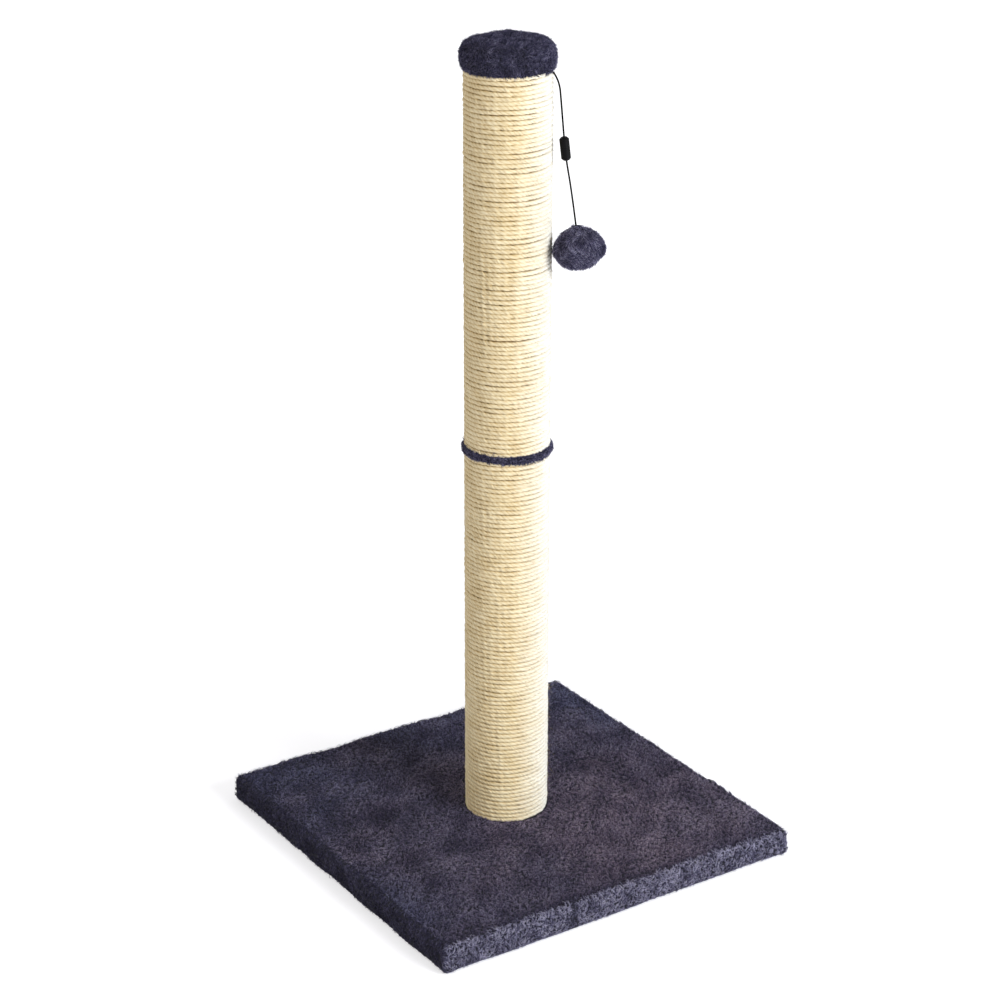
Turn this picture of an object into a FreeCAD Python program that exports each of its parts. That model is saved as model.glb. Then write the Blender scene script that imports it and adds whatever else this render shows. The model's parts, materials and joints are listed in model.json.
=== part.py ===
import FreeCAD, Part
import math
import os
import Sketcher

# A cat scratching post: a square covered base, two rope-wound tubes screwed end to end, a plush cap,
# and a ball that hangs from the cap's lip on a cord with a breakaway connector.
# Lengths are in millimetres. +Z is up and the origin is the middle of the base's underside.

Vector = FreeCAD.Vector
Rotation = FreeCAD.Rotation
Placement = FreeCAD.Placement
UP = Vector(0, 0, 1)
FULL_TURN = 2.0 * math.pi
QUARTER_TURN = 0.25
EDGES_PER_TURN = 4

doc = FreeCAD.newDocument("scratching_post")
sheet = doc.addObject("Spreadsheet::Sheet", "Sizes")

DRIVING_SIZES = [
    # Base: chipboard in a plush cover that follows its corners and edges and is turned in underneath.
    ("board_side", 400.0),
    ("board_thick", 22.0),
    ("board_corner_round", 2.0),
    ("base_plush_thick", 6.0),
    ("cover_edge_ease", 0.5),
    ("hem_thick", 2.0),
    ("hem_width", 36.0),
    ("hem_corner_round", 4.0),
    ("lining_thick", 1.0),
    ("bolt_sink_size", 30.0),
    ("bolt_sink_deep", 8.0),
    # Threaded fasteners of the post.
    ("bolt_size", 8.0),
    ("bolt_reach", 50.0),
    ("bolt_head_flats", 13.0),
    ("bolt_head_high", 5.3),
    ("washer_size", 24.0),
    ("washer_thick", 1.6),
    ("nut_flange_size", 22.0),
    ("nut_flange_thick", 1.5),
    ("nut_barrel_size", 10.0),
    ("nut_barrel_long", 9.0),
    ("stud_long", 60.0),
    # Post: cardboard tubes closed by wooden plugs.
    ("tube_outside", 75.0),
    ("tube_wall", 4.0),
    ("lower_tube_long", 390.0),
    ("upper_tube_long", 390.0),
    ("plug_thick", 20.0),
    # Rope wound on the tubes.
    ("rope_size", 4.0),
    ("rope_turn_gap", 0.45),
    ("rope_end_room", 0.3),
    # Plush ring over the seam between the tubes.
    ("ring_high", 9.5),
    ("ring_outside", 90.8),
    ("ring_crown", 2.5),
    # Cap: wadding under plush whose double hem grips the tube's end.
    ("cap_skirt_high", 21.0),
    ("cap_pad_high", 4.0),
    ("cap_crown_high", 30.4),
    ("cap_shoulder_reach", 35.0),
    ("cap_shoulder_high", 28.2),
    ("cap_bulge_reach", 45.6),
    ("cap_bulge_high", 13.0),
    ("cap_lip_reach", 44.0),
    ("cap_lip_round", 1.0),
    # Staples of the hem and of the cap.
    ("staple_crown", 10.0),
    ("staple_wire", 1.2),
    ("staple_leg", 8.0),
    ("hem_staple_sink", 0.6),
    ("cap_staple_leg", 6.0),
    ("cap_staple_high", 6.0),
    # Toy: cord, connector and ball.
    ("cord_size", 1.8),
    ("knot_size", 4.8),
    ("anchor_high", 10.0),
    ("connector_size", 9.2),
    ("connector_long", 22.0),
    ("connector_chamfer", 1.8),
    ("stem_size", 5.0),
    ("connector_wall", 1.6),
    ("stem_long", 5.0),
    ("connector_knot_size", 3.6),
    ("ball_wide", 52.0),
    ("ball_high", 42.0),
    ("ball_plush_thick", 3.0),
    ("gather_size", 10.0),
    ("gather_tip_size", 5.0),
    ("gather_high", 2.5),
    ("ball_knot_size", 6.0),
    ("ball_knot_deep", 8.0),
]
for row, (name, value) in enumerate(DRIVING_SIZES, start=1):
    sheet.set(f"A{row}", name)
    sheet.set(f"B{row}", str(value))
    sheet.setAlias(f"B{row}", name)
doc.recompute()

# Angles in degrees, counted from +X towards +Y. The toy hangs off the post's right front quarter.
TOY_AZIMUTH = -45.0
ROPE_END_AZIMUTH = 110.0
CONNECTOR_TILT = 6.7
BALL_TILT = 8.0
STAPLES_PER_SIDE = 5
CAP_STAPLES = 4
WINDINGS_PER_TUBE = 4

# Clearances.
SEAT_GAP = 0.1
SOFT_GAP = 0.3
ROPE_SEAT = 0.05
BOLT_ROOM = 0.5
LEG_END_ROOM = 1.0
FOLD_ROOM = 0.6

# What counts as no length at all, and how far a cutting tool runs past what it cuts.
NO_LENGTH = 1e-6
CUT_PAST = 1.0

# The share of a cord's run that its bend takes up, and the points per edge that the rope's gap
# is measured on.
BEND_SHARE = 0.45
GAP_STEPS = 8


class Size:
    """A length together with the formula of driving sizes that it is bound to."""

    def __init__(self, value, formula):
        self.value = value
        self.formula = formula

    def __add__(self, other):
        other = as_size(other)
        return Size(self.value + other.value, f"({self.formula} + {other.formula})")

    def __sub__(self, other):
        other = as_size(other)
        return Size(self.value - other.value, f"({self.formula} - {other.formula})")

    def __mul__(self, other):
        other = as_size(other)
        return Size(self.value * other.value, f"({self.formula} * {other.formula})")

    def __truediv__(self, other):
        other = as_size(other)
        return Size(self.value / other.value, f"({self.formula} / {other.formula})")

    def __neg__(self):
        return Size(-self.value, f"(0 - {self.formula})")


def as_size(number):
    if isinstance(number, Size):
        return number
    return Size(float(number), repr(float(number)))


def driving(name):
    return Size(float(sheet.get(name)), f"Sizes.{name}")


def bind(item, prop, size):
    item.setExpression(prop, as_size(size).formula)


# ---------------------------------------------------------------------------------------------
# Sketches and features


def origin_plane(body, role):
    for feature in body.Origin.OriginFeatures:
        if feature.Role == role:
            return feature
    raise ValueError(role)


def new_body(label):
    body = doc.addObject("PartDesign::Body", label)
    body.Label = label
    return body


def new_sketch(body, role="XY_Plane", height=None):
    sketch = body.newObject("Sketcher::SketchObject", f"{body.Name}_sketch")
    sketch.AttachmentSupport = [(origin_plane(body, role), "")]
    sketch.MapMode = "FlatFace"
    if height is not None:
        bind(sketch, ".AttachmentOffset.Base.z", height)
    return sketch


def pin_point(sketch, edge, end, x, y):
    """Hold an edge's end at (x, y) from the sketch's origin."""
    for value, kind, axis in ((x, "DistanceX", -2), (y, "DistanceY", -1)):
        value = as_size(value)
        if abs(value.value) < NO_LENGTH:
            sketch.addConstraint(Sketcher.Constraint("PointOnObject", edge, end, axis))
            continue
        held = sketch.addConstraint(Sketcher.Constraint(kind, -1, 1, edge, end, value.value))
        bind(sketch, f"Constraints[{held}]", value)


def draw_circle(sketch, radius):
    centre = Vector(0, 0, 0)
    edge = sketch.addGeometry(Part.Circle(centre, UP, radius.value))
    sketch.addConstraint(Sketcher.Constraint("Coincident", edge, 3, -1, 1))
    held = sketch.addConstraint(Sketcher.Constraint("Radius", edge, radius.value))
    bind(sketch, f"Constraints[{held}]", radius)


def draw_outline(sketch, points, arcs=None):
    """A closed outline through points.

    arcs gives the edges that are round: edge number to (radius, side), where side is 1 if the
    arc's centre lies to the left of the way along it and -1 if it lies to the right."""
    arcs = arcs or {}
    ends = []
    for number, (x, y) in enumerate(points):
        start = Vector(as_size(x).value, as_size(y).value, 0)
        next_x, next_y = points[(number + 1) % len(points)]
        finish = Vector(as_size(next_x).value, as_size(next_y).value, 0)
        if number not in arcs:
            edge = sketch.addGeometry(Part.LineSegment(start, finish))
            ends.append((edge, 1, 2))
            continue
        radius, side = arcs[number]
        radius = as_size(radius)
        along = finish - start
        left = Vector(-along.y, along.x, 0).normalize()
        rise = math.sqrt(max(radius.value ** 2 - (along.Length / 2) ** 2, 0.0))
        centre = (start + finish) * 0.5 + left * (rise * side)
        first, last = (start, finish) if side > 0 else (finish, start)
        from_angle = math.atan2(first.y - centre.y, first.x - centre.x)
        to_angle = math.atan2(last.y - centre.y, last.x - centre.x)
        if to_angle < from_angle:
            to_angle += FULL_TURN
        circle = Part.Circle(centre, UP, radius.value)
        edge = sketch.addGeometry(Part.ArcOfCircle(circle, from_angle, to_angle))
        held = sketch.addConstraint(Sketcher.Constraint("Radius", edge, radius.value))
        bind(sketch, f"Constraints[{held}]", radius)
        ends.append((edge, 1, 2) if side > 0 else (edge, 2, 1))
    for number, (edge, start_end, finish_end) in enumerate(ends):
        following, following_start, _ = ends[(number + 1) % len(ends)]
        joint = ("Coincident", edge, finish_end, following, following_start)
        sketch.addConstraint(Sketcher.Constraint(*joint))
        x, y = points[number]
        pin_point(sketch, edge, start_end, x, y)


def draw_rounded_square(sketch, side, corner):
    half = side / 2
    near = half - corner
    points = [
        (-near, -half), (near, -half),
        (half, -near), (half, near),
        (near, half), (-near, half),
        (-half, near), (-half, -near),
    ]
    draw_outline(sketch, points, {1: (corner, 1), 3: (corner, 1), 5: (corner, 1), 7: (corner, 1)})


def pad(body, sketch, height):
    feature = body.newObject("PartDesign::Pad", f"{body.Name}_pad")
    feature.Profile = sketch
    bind(feature, "Length", height)
    sketch.Visibility = False
    return feature


def pocket(body, sketch, depth, upwards=False):
    """Cut along the sketch's normal if upwards, else against it."""
    before = body.Shape.Volume
    feature = body.newObject("PartDesign::Pocket", f"{body.Name}_pocket")
    feature.Profile = sketch
    feature.Reversed = upwards
    bind(feature, "Length", depth)
    doc.recompute()
    if body.Shape.Volume >= before:
        raise ValueError(f"{feature.Name} cuts nothing")
    return feature


def revolve(body, sketch):
    feature = body.newObject("PartDesign::Revolution", f"{body.Name}_turned")
    feature.Profile = sketch
    feature.ReferenceAxis = (sketch, ["V_Axis"])
    feature.Angle = 360.0
    return feature


def round_edges(body, base, radius, wanted):
    """Fillet those edges of base that wanted says yes to."""
    doc.recompute()
    names = [f"Edge{n}" for n, edge in enumerate(base.Shape.Edges, start=1) if wanted(edge)]
    feature = body.newObject("PartDesign::Fillet", f"{body.Name}_round")
    feature.Base = (base, names)
    bind(feature, "Radius", radius)
    return feature


def ring_body(label, outer_radius, inner_radius, height, z):
    body = new_body(label)
    sketch = new_sketch(body)
    draw_circle(sketch, outer_radius)
    if inner_radius is not None:
        draw_circle(sketch, inner_radius)
    pad(body, sketch, height)
    bind(body, ".Placement.Base.z", z)
    return body


def turned_body(label, points, arcs=None):
    """A body turned about Z from an outline of (radius, height) points."""
    body = new_body(label)
    sketch = new_sketch(body, "XZ_Plane")
    draw_outline(sketch, points, arcs)
    revolve(body, sketch)
    return body


def cut(label, base, tool):
    feature = doc.addObject("Part::Cut", label)
    feature.Label = label
    feature.Base = base
    feature.Tool = tool
    return feature


def solid_feature(label, shape, placement=None):
    feature = doc.addObject("Part::Feature", label)
    feature.Label = label
    feature.Shape = shape
    feature.Placement = placement or Placement()
    return feature


# ---------------------------------------------------------------------------------------------
# Sizes and levels that several pieces share

board_side = driving("board_side")
board_thick = driving("board_thick")
board_corner = driving("board_corner_round")
plush_thick = driving("base_plush_thick")
hem_thick = driving("hem_thick")
base_side = board_side + plush_thick * 2
corner_round = board_corner + plush_thick
edge_round = plush_thick + driving("cover_edge_ease")
board_top = hem_thick + board_thick
base_high = board_top + plush_thick

bolt_radius = driving("bolt_size") / 2
bolt_hole_radius = bolt_radius + BOLT_ROOM
sink_radius = driving("bolt_sink_size") / 2
sink_top = hem_thick + driving("bolt_sink_deep")
plug_thick = driving("plug_thick")
barrel_radius = driving("nut_barrel_size") / 2
barrel_long = driving("nut_barrel_long")
flange_thick = driving("nut_flange_thick")

tube_radius = driving("tube_outside") / 2
tube_bore = tube_radius - driving("tube_wall")
joint_level = base_high + driving("lower_tube_long")
post_top = joint_level + driving("upper_tube_long")

rope_size = driving("rope_size")
rope_line_radius = tube_radius + rope_size / 2 + ROPE_SEAT
post_radius = tube_radius + rope_size + ROPE_SEAT
ring_half = driving("ring_high") / 2
lip_level = post_top - driving("cap_skirt_high")

# The fastened pieces, in the order in which they are made.
nodes = []


def keep(feature):
    nodes.append(feature)
    return feature


# ---------------------------------------------------------------------------------------------
# Staples


def staple_solid(crown, leg, wire):
    """A staple with its crown's outside on z = 0 along X and its legs pointing up."""
    bar = Part.makeBox(crown, wire, wire, Vector(-crown / 2, -wire / 2, 0))
    near_leg = Part.makeBox(wire, wire, leg, Vector(-crown / 2, -wire / 2, 0))
    far_leg = Part.makeBox(wire, wire, leg, Vector(crown / 2 - wire, -wire / 2, 0))
    return bar.fuse([near_leg, far_leg]).removeSplitter()


def hem_staple_places():
    """Where the hem's staples sit: evenly along each side, in the middle of the hem."""
    inset = (driving("hem_width").value + plush_thick.value) / 2
    line = base_side.value / 2 - inset
    step = 2 * line / STAPLES_PER_SIDE
    level = driving("hem_staple_sink").value
    for side in range(4):
        turn = Rotation(UP, 90.0 * side)
        for number in range(STAPLES_PER_SIDE):
            along = (number - (STAPLES_PER_SIDE - 1) / 2) * step
            yield Placement(turn.multVec(Vector(along, -line, level)), turn)


def cap_staple_places():
    """Where the cap's staples sit: inside the double hem, legs towards the post's axis."""
    leg_end = tube_bore.value + LEG_END_ROOM
    crown_radius = leg_end + driving("cap_staple_leg").value
    level = lip_level.value + driving("cap_staple_high").value
    for number in range(CAP_STAPLES):
        angle = TOY_AZIMUTH + 360.0 / CAP_STAPLES * (number + 0.5)
        around = Rotation(UP, angle)
        inwards = Rotation(Vector(0, 1, 0), -90.0)
        upright = Rotation(UP, 90.0)
        place = around.multVec(Vector(crown_radius, 0, level))
        yield Placement(place, around.multiply(inwards).multiply(upright))


def staple_group(places, crown, leg, wire):
    staples = []
    for place in places:
        staple = staple_solid(crown, leg, wire)
        staple.Placement = place
        staples.append(staple)
    return Part.makeCompound(staples)


def make_staples():
    crown = driving("staple_crown").value
    wire = driving("staple_wire").value
    hem_leg = driving("staple_leg").value
    cap_leg = driving("cap_staple_leg").value
    hem = staple_group(hem_staple_places(), crown, hem_leg, wire)
    cap = staple_group(cap_staple_places(), crown, cap_leg, wire)
    keep(solid_feature("base_staples", hem))
    keep(solid_feature("cap_staples", cap))
    return nodes[-2], nodes[-1]


# ---------------------------------------------------------------------------------------------
# Base


def make_base_board(staples):
    blank = new_body("base_board_blank")
    outline = new_sketch(blank)
    draw_rounded_square(outline, board_side, board_corner)
    pad(blank, outline, board_thick)
    doc.recompute()
    sink = new_sketch(blank)
    draw_circle(sink, sink_radius)
    pocket(blank, sink, driving("bolt_sink_deep"), upwards=True)
    hole = new_sketch(blank)
    draw_circle(hole, bolt_hole_radius)
    pocket(blank, hole, board_thick, upwards=True)
    bind(blank, ".Placement.Base.z", hem_thick)
    return keep(cut("base_board", blank, staples))


def make_base_plush(staples):
    blank = new_body("base_plush_blank")
    outline = new_sketch(blank)
    draw_rounded_square(outline, base_side, corner_round)
    slab = pad(blank, outline, base_high)
    top = base_high.value

    def on_outside(edge):
        box = edge.BoundBox
        at_end = abs(box.ZMin) < NO_LENGTH or abs(box.ZMin - top) < NO_LENGTH
        return box.ZLength < NO_LENGTH and at_end

    round_edges(blank, slab, edge_round, on_outside)
    doc.recompute()
    opening = new_sketch(blank)
    draw_rounded_square(opening, base_side - driving("hem_width") * 2, driving("hem_corner_round"))
    pocket(blank, opening, hem_thick, upwards=True)
    room = new_sketch(blank, height=board_top)
    draw_rounded_square(room, board_side, board_corner)
    pocket(blank, room, board_thick)
    hole = new_sketch(blank, height=base_high)
    draw_circle(hole, bolt_hole_radius)
    pocket(blank, hole, plush_thick)
    return keep(cut("base_plush", blank, staples))


def make_base_lining():
    body = new_body("base_lining")
    sketch = new_sketch(body)
    side = base_side - driving("hem_width") * 2 - SOFT_GAP * 2
    draw_rounded_square(sketch, side, driving("hem_corner_round") - SOFT_GAP)
    draw_circle(sketch, sink_radius)
    pad(body, sketch, driving("lining_thick"))
    bind(body, ".Placement.Base.z", hem_thick - driving("lining_thick"))
    return keep(body)


def make_base_bolt():
    head_top = sink_top - driving("washer_thick")
    head = doc.addObject("Part::Prism", "base_bolt_head")
    head.Polygon = 6
    bind(head, "Circumradius", driving("bolt_head_flats") / math.sqrt(3.0))
    bind(head, "Height", driving("bolt_head_high"))
    bind(head, ".Placement.Base.z", head_top - driving("bolt_head_high"))
    shank = doc.addObject("Part::Cylinder", "base_bolt_shank")
    bind(shank, "Radius", bolt_radius)
    bind(shank, "Height", driving("bolt_reach"))
    bind(shank, ".Placement.Base.z", head_top)
    bolt = doc.addObject("Part::Fuse", "base_bolt")
    bolt.Label = "base_bolt"
    bolt.Base = head
    bolt.Tool = shank
    return keep(bolt)


def make_base_washer():
    level = sink_top - driving("washer_thick")
    hole = bolt_radius + BOLT_ROOM / 2
    washer = ring_body("base_washer", driving("washer_size") / 2, hole, driving("washer_thick"), level)
    return keep(washer)


# ---------------------------------------------------------------------------------------------
# Tubes, plugs and what screws them together


def make_plug(label, level, nut_side):
    """A wooden disc with a stepped hole; the nut's barrel goes in from above (1) or below (-1)."""
    outside = tube_bore - SEAT_GAP
    step = barrel_radius + SEAT_GAP
    inner = plug_thick - barrel_long
    points = [
        (bolt_hole_radius, 0), (outside, 0), (outside, plug_thick),
        (step, plug_thick), (step, inner), (bolt_hole_radius, inner),
    ]
    plug = turned_body(label, points)
    place_fastened(plug, level, nut_side)
    return keep(plug)


def make_nut(label, level, nut_side):
    """A tee nut whose flange lies on the plug's inner face and whose barrel fills its hole."""
    bore = bolt_radius + SEAT_GAP
    flange = driving("nut_flange_size") / 2
    flange_top = plug_thick + flange_thick
    inner = plug_thick - barrel_long
    points = [
        (bore, inner), (barrel_radius, inner), (barrel_radius, plug_thick),
        (flange, plug_thick), (flange, flange_top), (bore, flange_top),
    ]
    nut = turned_body(label, points)
    place_fastened(nut, level, nut_side)
    return keep(nut)


def place_fastened(body, level, nut_side):
    """Stand a plug or its nut on its outer face at level, upside down where the nut is below."""
    if nut_side < 0:
        body.Placement = Placement(Vector(0, 0, 0), Rotation(Vector(1, 0, 0), 180.0))
    bind(body, ".Placement.Base.z", level)


def make_stud():
    long = driving("stud_long")
    stud = doc.addObject("Part::Cylinder", "joint_stud")
    stud.Label = "joint_stud"
    bind(stud, "Radius", bolt_radius)
    bind(stud, "Height", long)
    bind(stud, ".Placement.Base.z", joint_level - long / 2)
    return keep(stud)


def make_post(cap_staples):
    keep(ring_body("lower_tube", tube_radius, tube_bore, driving("lower_tube_long"), base_high))
    blank = ring_body("upper_tube_blank", tube_radius, tube_bore, driving("upper_tube_long"), joint_level)
    keep(cut("upper_tube", blank, cap_staples))
    make_plug("lower_bottom_plug", base_high, 1)
    make_nut("lower_bottom_nut", base_high, 1)
    make_plug("lower_top_plug", joint_level, -1)
    make_nut("lower_top_nut", joint_level, -1)
    make_plug("upper_bottom_plug", joint_level, 1)
    make_nut("upper_bottom_nut", joint_level, 1)
    lid = ring_body("upper_top_plug", tube_bore - SEAT_GAP, None, plug_thick, post_top - plug_thick)
    keep(lid)
    make_stud()


def make_joint_ring():
    """A plush band round the seam, crowned outwards."""
    crown = driving("ring_crown")
    reach = driving("ring_outside") / 2
    edge = reach - crown
    crown_radius = (ring_half * ring_half + crown * crown) / (crown * 2)
    points = [(tube_radius, -ring_half), (edge, -ring_half), (edge, ring_half), (tube_radius, ring_half)]
    ring = turned_body("joint_ring", points, {1: (crown_radius, 1)})
    bind(ring, ".Placement.Base.z", joint_level)
    return keep(ring)


# ---------------------------------------------------------------------------------------------
# Rope


def tangent_arc(start, direction, finish):
    """The middle point of the arc from start, leaving along direction, to finish."""
    chord = finish - start
    side = chord - direction * chord.dot(direction)
    radius = chord.dot(chord) / (2 * side.Length)
    centre = start + side.normalize() * radius
    return centre + ((start - centre) + (finish - centre)).normalize() * radius


def biarc(start, start_way, finish, finish_way):
    """Two arcs that are tangent where they meet and to the way in and the way out."""
    chord = finish - start
    square = 2 * (1 - start_way.dot(finish_way))
    linear = 2 * chord.dot(start_way + finish_way)
    reach = (-linear + math.sqrt(linear ** 2 + 4 * square * chord.dot(chord))) / (2 * square)
    meet = (start + start_way * reach + finish - finish_way * reach) * 0.5
    first_middle = tangent_arc(start, start_way, meet)
    second_middle = tangent_arc(finish, finish_way * -1, meet)
    return [Part.Arc(start, first_middle, meet), Part.Arc(meet, second_middle, finish)]


def winding_line(line_radius, pitch, first_level, first_turn, loops, end_run):
    """Edges of a helix of so many loops, with a straight run at each end along its tangent."""

    def place(turns):
        angle = math.radians(ROPE_END_AZIMUTH) + FULL_TURN * turns
        level = first_level + pitch * turns
        return Vector(line_radius * math.cos(angle), line_radius * math.sin(angle), level)

    def way(turns):
        angle = math.radians(ROPE_END_AZIMUTH) + FULL_TURN * turns
        climb = pitch / FULL_TURN
        flat = line_radius
        return Vector(-flat * math.sin(angle), flat * math.cos(angle), climb).normalize()

    last_turn = first_turn + loops
    start, start_way = place(first_turn), way(first_turn)
    finish, finish_way = place(last_turn), way(last_turn)
    leave = start + start_way * end_run
    arrive = finish - finish_way * end_run
    edges = [Part.LineSegment(start, leave)]
    here, here_way = leave, start_way
    for half in range(2 * loops):
        turns = first_turn + QUARTER_TURN + half / 2
        edges += biarc(here, here_way, place(turns), way(turns))
        here, here_way = place(turns), way(turns)
    edges += biarc(here, here_way, arrive, finish_way)
    edges.append(Part.LineSegment(arrive, finish))
    return [edge.toShape() for edge in edges]


def pipe(edges, size):
    """A round tube of this size along the edges, which follow each other tangentially."""
    route = Part.Wire(edges)
    start = edges[0].valueAt(edges[0].FirstParameter)
    way = edges[0].tangentAt(edges[0].FirstParameter)
    section = Part.Wire([Part.makeCircle(size / 2, start, way)])
    tube = route.makePipeShell([section], True, False)
    wanted = math.pi * (size / 2) ** 2 * route.Length
    return tube, tube.Volume / wanted


def least_turn_gap(edges, size):
    """The least gap between neighbouring turns, from points along the tube's line."""
    line = []
    for edge in edges:
        first, span = edge.FirstParameter, edge.LastParameter - edge.FirstParameter
        line += [edge.valueAt(first + span * step / GAP_STEPS) for step in range(GAP_STEPS)]
    per_turn = EDGES_PER_TURN * GAP_STEPS
    least = None
    for number, point in enumerate(line):
        for other in range(number + per_turn // 2, min(number + 2 * per_turn, len(line) - 1)):
            start, finish = line[other], line[other + 1]
            way = finish - start
            share = max(0.0, min(1.0, (point - start).dot(way) / way.dot(way)))
            distance = (point - start - way * share).Length
            least = distance if least is None else min(least, distance)
    return least - size


def make_rope(section, bottom, top):
    """The rope of one tube, from bottom to top, in windings of as many loops each that follow on."""
    room = rope_size.value / 2 + driving("rope_end_room").value
    first_level = bottom.value + room
    travel = top.value - room - first_level
    turns = math.floor(travel / (rope_size.value + driving("rope_turn_gap").value))
    loops = turns // WINDINGS_PER_TUBE
    pitch = travel / (WINDINGS_PER_TUBE * loops)
    for number in range(WINDINGS_PER_TUBE):
        line = winding_line(rope_line_radius.value, pitch, first_level, number * loops, loops,
                            rope_size.value)
        rope, filled = pipe(line, rope_size.value)
        gap = least_turn_gap(line, rope_size.value)
        label = f"rope_{section}_{number + 1}"
        print(f"{label}: {loops} loops, pitch {pitch:.3f}, least gap {gap:.3f}, volume ratio {filled:.5f}")
        keep(solid_feature(label, rope))


# ---------------------------------------------------------------------------------------------
# Cap


def make_cap_padding():
    """A lens of wadding on the tube's end."""
    high = driving("cap_pad_high")
    dome = (tube_radius * tube_radius + high * high) / (high * 2)
    body = turned_body("cap_padding", [(0, 0), (tube_radius, 0), (0, high)], {1: (dome, 1)})
    bind(body, ".Placement.Base.z", post_top)
    return keep(body)


def make_cap_plush(staples, cord_hole):
    """The plush cap: a puffed shell from the lip over a bulge and a shoulder to the crown."""
    skirt = driving("cap_skirt_high")
    pad_high = driving("cap_pad_high")
    crown = driving("cap_crown_high")
    shoulder, shoulder_high = driving("cap_shoulder_reach"), driving("cap_shoulder_high")
    bulge, bulge_high = driving("cap_bulge_reach"), driving("cap_bulge_high")
    lip, lip_round = driving("cap_lip_reach"), driving("cap_lip_round")
    dome = (tube_radius * tube_radius + pad_high * pad_high) / (pad_high * 2)
    drop = crown - shoulder_high
    top_radius = (shoulder * shoulder + drop * drop) / (drop * 2)
    out, fall = bulge - shoulder, shoulder_high - bulge_high
    shoulder_radius = (out * out + fall * fall) / (out * 2)
    tuck, sink = bulge - lip, bulge_high - lip_round
    tuck_radius = (tuck * tuck + sink * sink) / (tuck * 2)
    points = [
        (tube_radius, 0), (lip - lip_round, 0), (lip, lip_round), (bulge, bulge_high),
        (shoulder, shoulder_high), (0, crown), (0, skirt + pad_high), (tube_radius, skirt),
    ]
    arcs = {
        1: (lip_round, 1), 2: (tuck_radius, 1), 3: (shoulder_radius, 1), 4: (top_radius, 1),
        6: (dome, -1),
    }
    blank = turned_body("cap_plush_blank", points, arcs)
    bind(blank, ".Placement.Base.z", lip_level)
    stapled = cut("cap_plush_stapled", blank, staples)
    return keep(cut("cap_plush", stapled, cord_hole))


# ---------------------------------------------------------------------------------------------
# Toy. It is drawn in its own upright plane: X points away from the post's axis, Z up.

toy_turn = Placement(Vector(0, 0, 0), Rotation(UP, TOY_AZIMUTH))
cord_radius = driving("cord_size").value / 2
ball_radius = driving("ball_wide").value / 2
ball_half_high = driving("ball_high").value / 2
swing_room = cord_radius + SEAT_GAP
fold_room = cord_radius + FOLD_ROOM


def toy_point(out, down):
    """A point this far out from the rope's outside and this far below the cap's lip."""
    return Vector(post_radius.value + out, 0, lip_level.value - down)


def tilted_way(tilt):
    """The direction down and outwards at this tilt from the vertical."""
    return Vector(math.sin(math.radians(tilt)), 0, -math.cos(math.radians(tilt)))


# The cord's route: the exit below the lip, two bends, the connector's top, and the bend between the
# connector and the ball.
EXIT_OUT, EXIT_DOWN = 0.4, 1.3
UPPER_ROUTE = [(6.1, 9.0), (8.1, 29.2)]
CONNECTOR_OUT, CONNECTOR_DOWN = 10.8, 61.2
LOWER_ROUTE = [(18.9, 114.0)]
BALL_DOWN = 167.0

exit_point = toy_point(EXIT_OUT, EXIT_DOWN)
connector_way = tilted_way(CONNECTOR_TILT)
connector_top = toy_point(CONNECTOR_OUT, CONNECTOR_DOWN)
connector_long = driving("connector_long").value
connector_middle = connector_top + connector_way * (connector_long / 2)
connector_end = connector_top + connector_way * connector_long
connector_knot_size = driving("connector_knot_size").value
connector_knot_deep = driving("connector_wall").value + SEAT_GAP + connector_knot_size / 2
fold_point = connector_top + connector_way * (connector_long + fold_room)
ball_way = tilted_way(BALL_TILT)
tilt_cos, tilt_sin = math.cos(math.radians(BALL_TILT)), math.sin(math.radians(BALL_TILT))
ball_support = math.hypot(ball_radius * tilt_cos, ball_half_high * tilt_sin)
ball_centre = toy_point(ball_support + SOFT_GAP, BALL_DOWN)
ball_top = ball_centre - ball_way * ball_half_high
ball_knot = ball_top + ball_way * driving("ball_knot_deep").value


def rounded_route(label, points):
    """Edges of straight runs joined by tangent arcs as large as the runs allow."""
    edges = []
    here = points[0]
    radii = []
    for before, corner, after in zip(points, points[1:], points[2:]):
        inwards = corner - before
        onwards = after - corner
        shorter = min(inwards.Length, onwards.Length)
        half_turn = inwards.getAngle(onwards) / 2
        reach = BEND_SHARE * shorter
        radii.append(reach / math.tan(half_turn))
        arrive = corner - inwards.normalize() * reach
        leave = corner + onwards.normalize() * reach
        middle = (arrive + leave) * 0.5
        bow = radii[-1] * (1 / math.cos(half_turn) - 1)
        edges.append(Part.LineSegment(here, arrive))
        edges.append(Part.Arc(arrive, corner + (middle - corner).normalize() * bow, leave))
        here = leave
    edges.append(Part.LineSegment(here, points[-1]))
    shapes = [edge.toShape() for edge in edges]
    length = sum(shape.Length for shape in shapes)
    print(f"{label}: length {length:.1f}, radii {[round(radius, 1) for radius in radii]}")
    return shapes


def cord_stretch(label, points, round_start=True, knot=None, knot_size=0.0):
    """A stretch of cord. A round start turns in its hinge; a knot is a thick round end."""
    tube, filled = pipe(rounded_route(label, points), 2 * cord_radius)
    print(f"{label}: volume ratio {filled:.5f}")
    parts = []
    if round_start:
        parts.append(Part.makeSphere(cord_radius, points[0]))
    if knot is not None:
        parts.append(Part.makeSphere(knot_size / 2, knot))
    shape = tube.fuse(parts) if parts else tube
    return keep(solid_feature(label, shape, toy_turn))


def make_cord_hole():
    """What the cord and its knot take up inside the cap's hem."""
    anchor_high = driving("anchor_high").value
    knot = Vector(exit_point.x, 0, lip_level.value + anchor_high)
    hole = Part.makeCylinder(cord_radius + SEAT_GAP, anchor_high + CUT_PAST, knot, UP * -1)
    room = Part.makeSphere(driving("knot_size").value / 2 + SEAT_GAP, knot)
    return solid_feature("cap_cord_hole", hole.fuse([room]), toy_turn)


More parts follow.
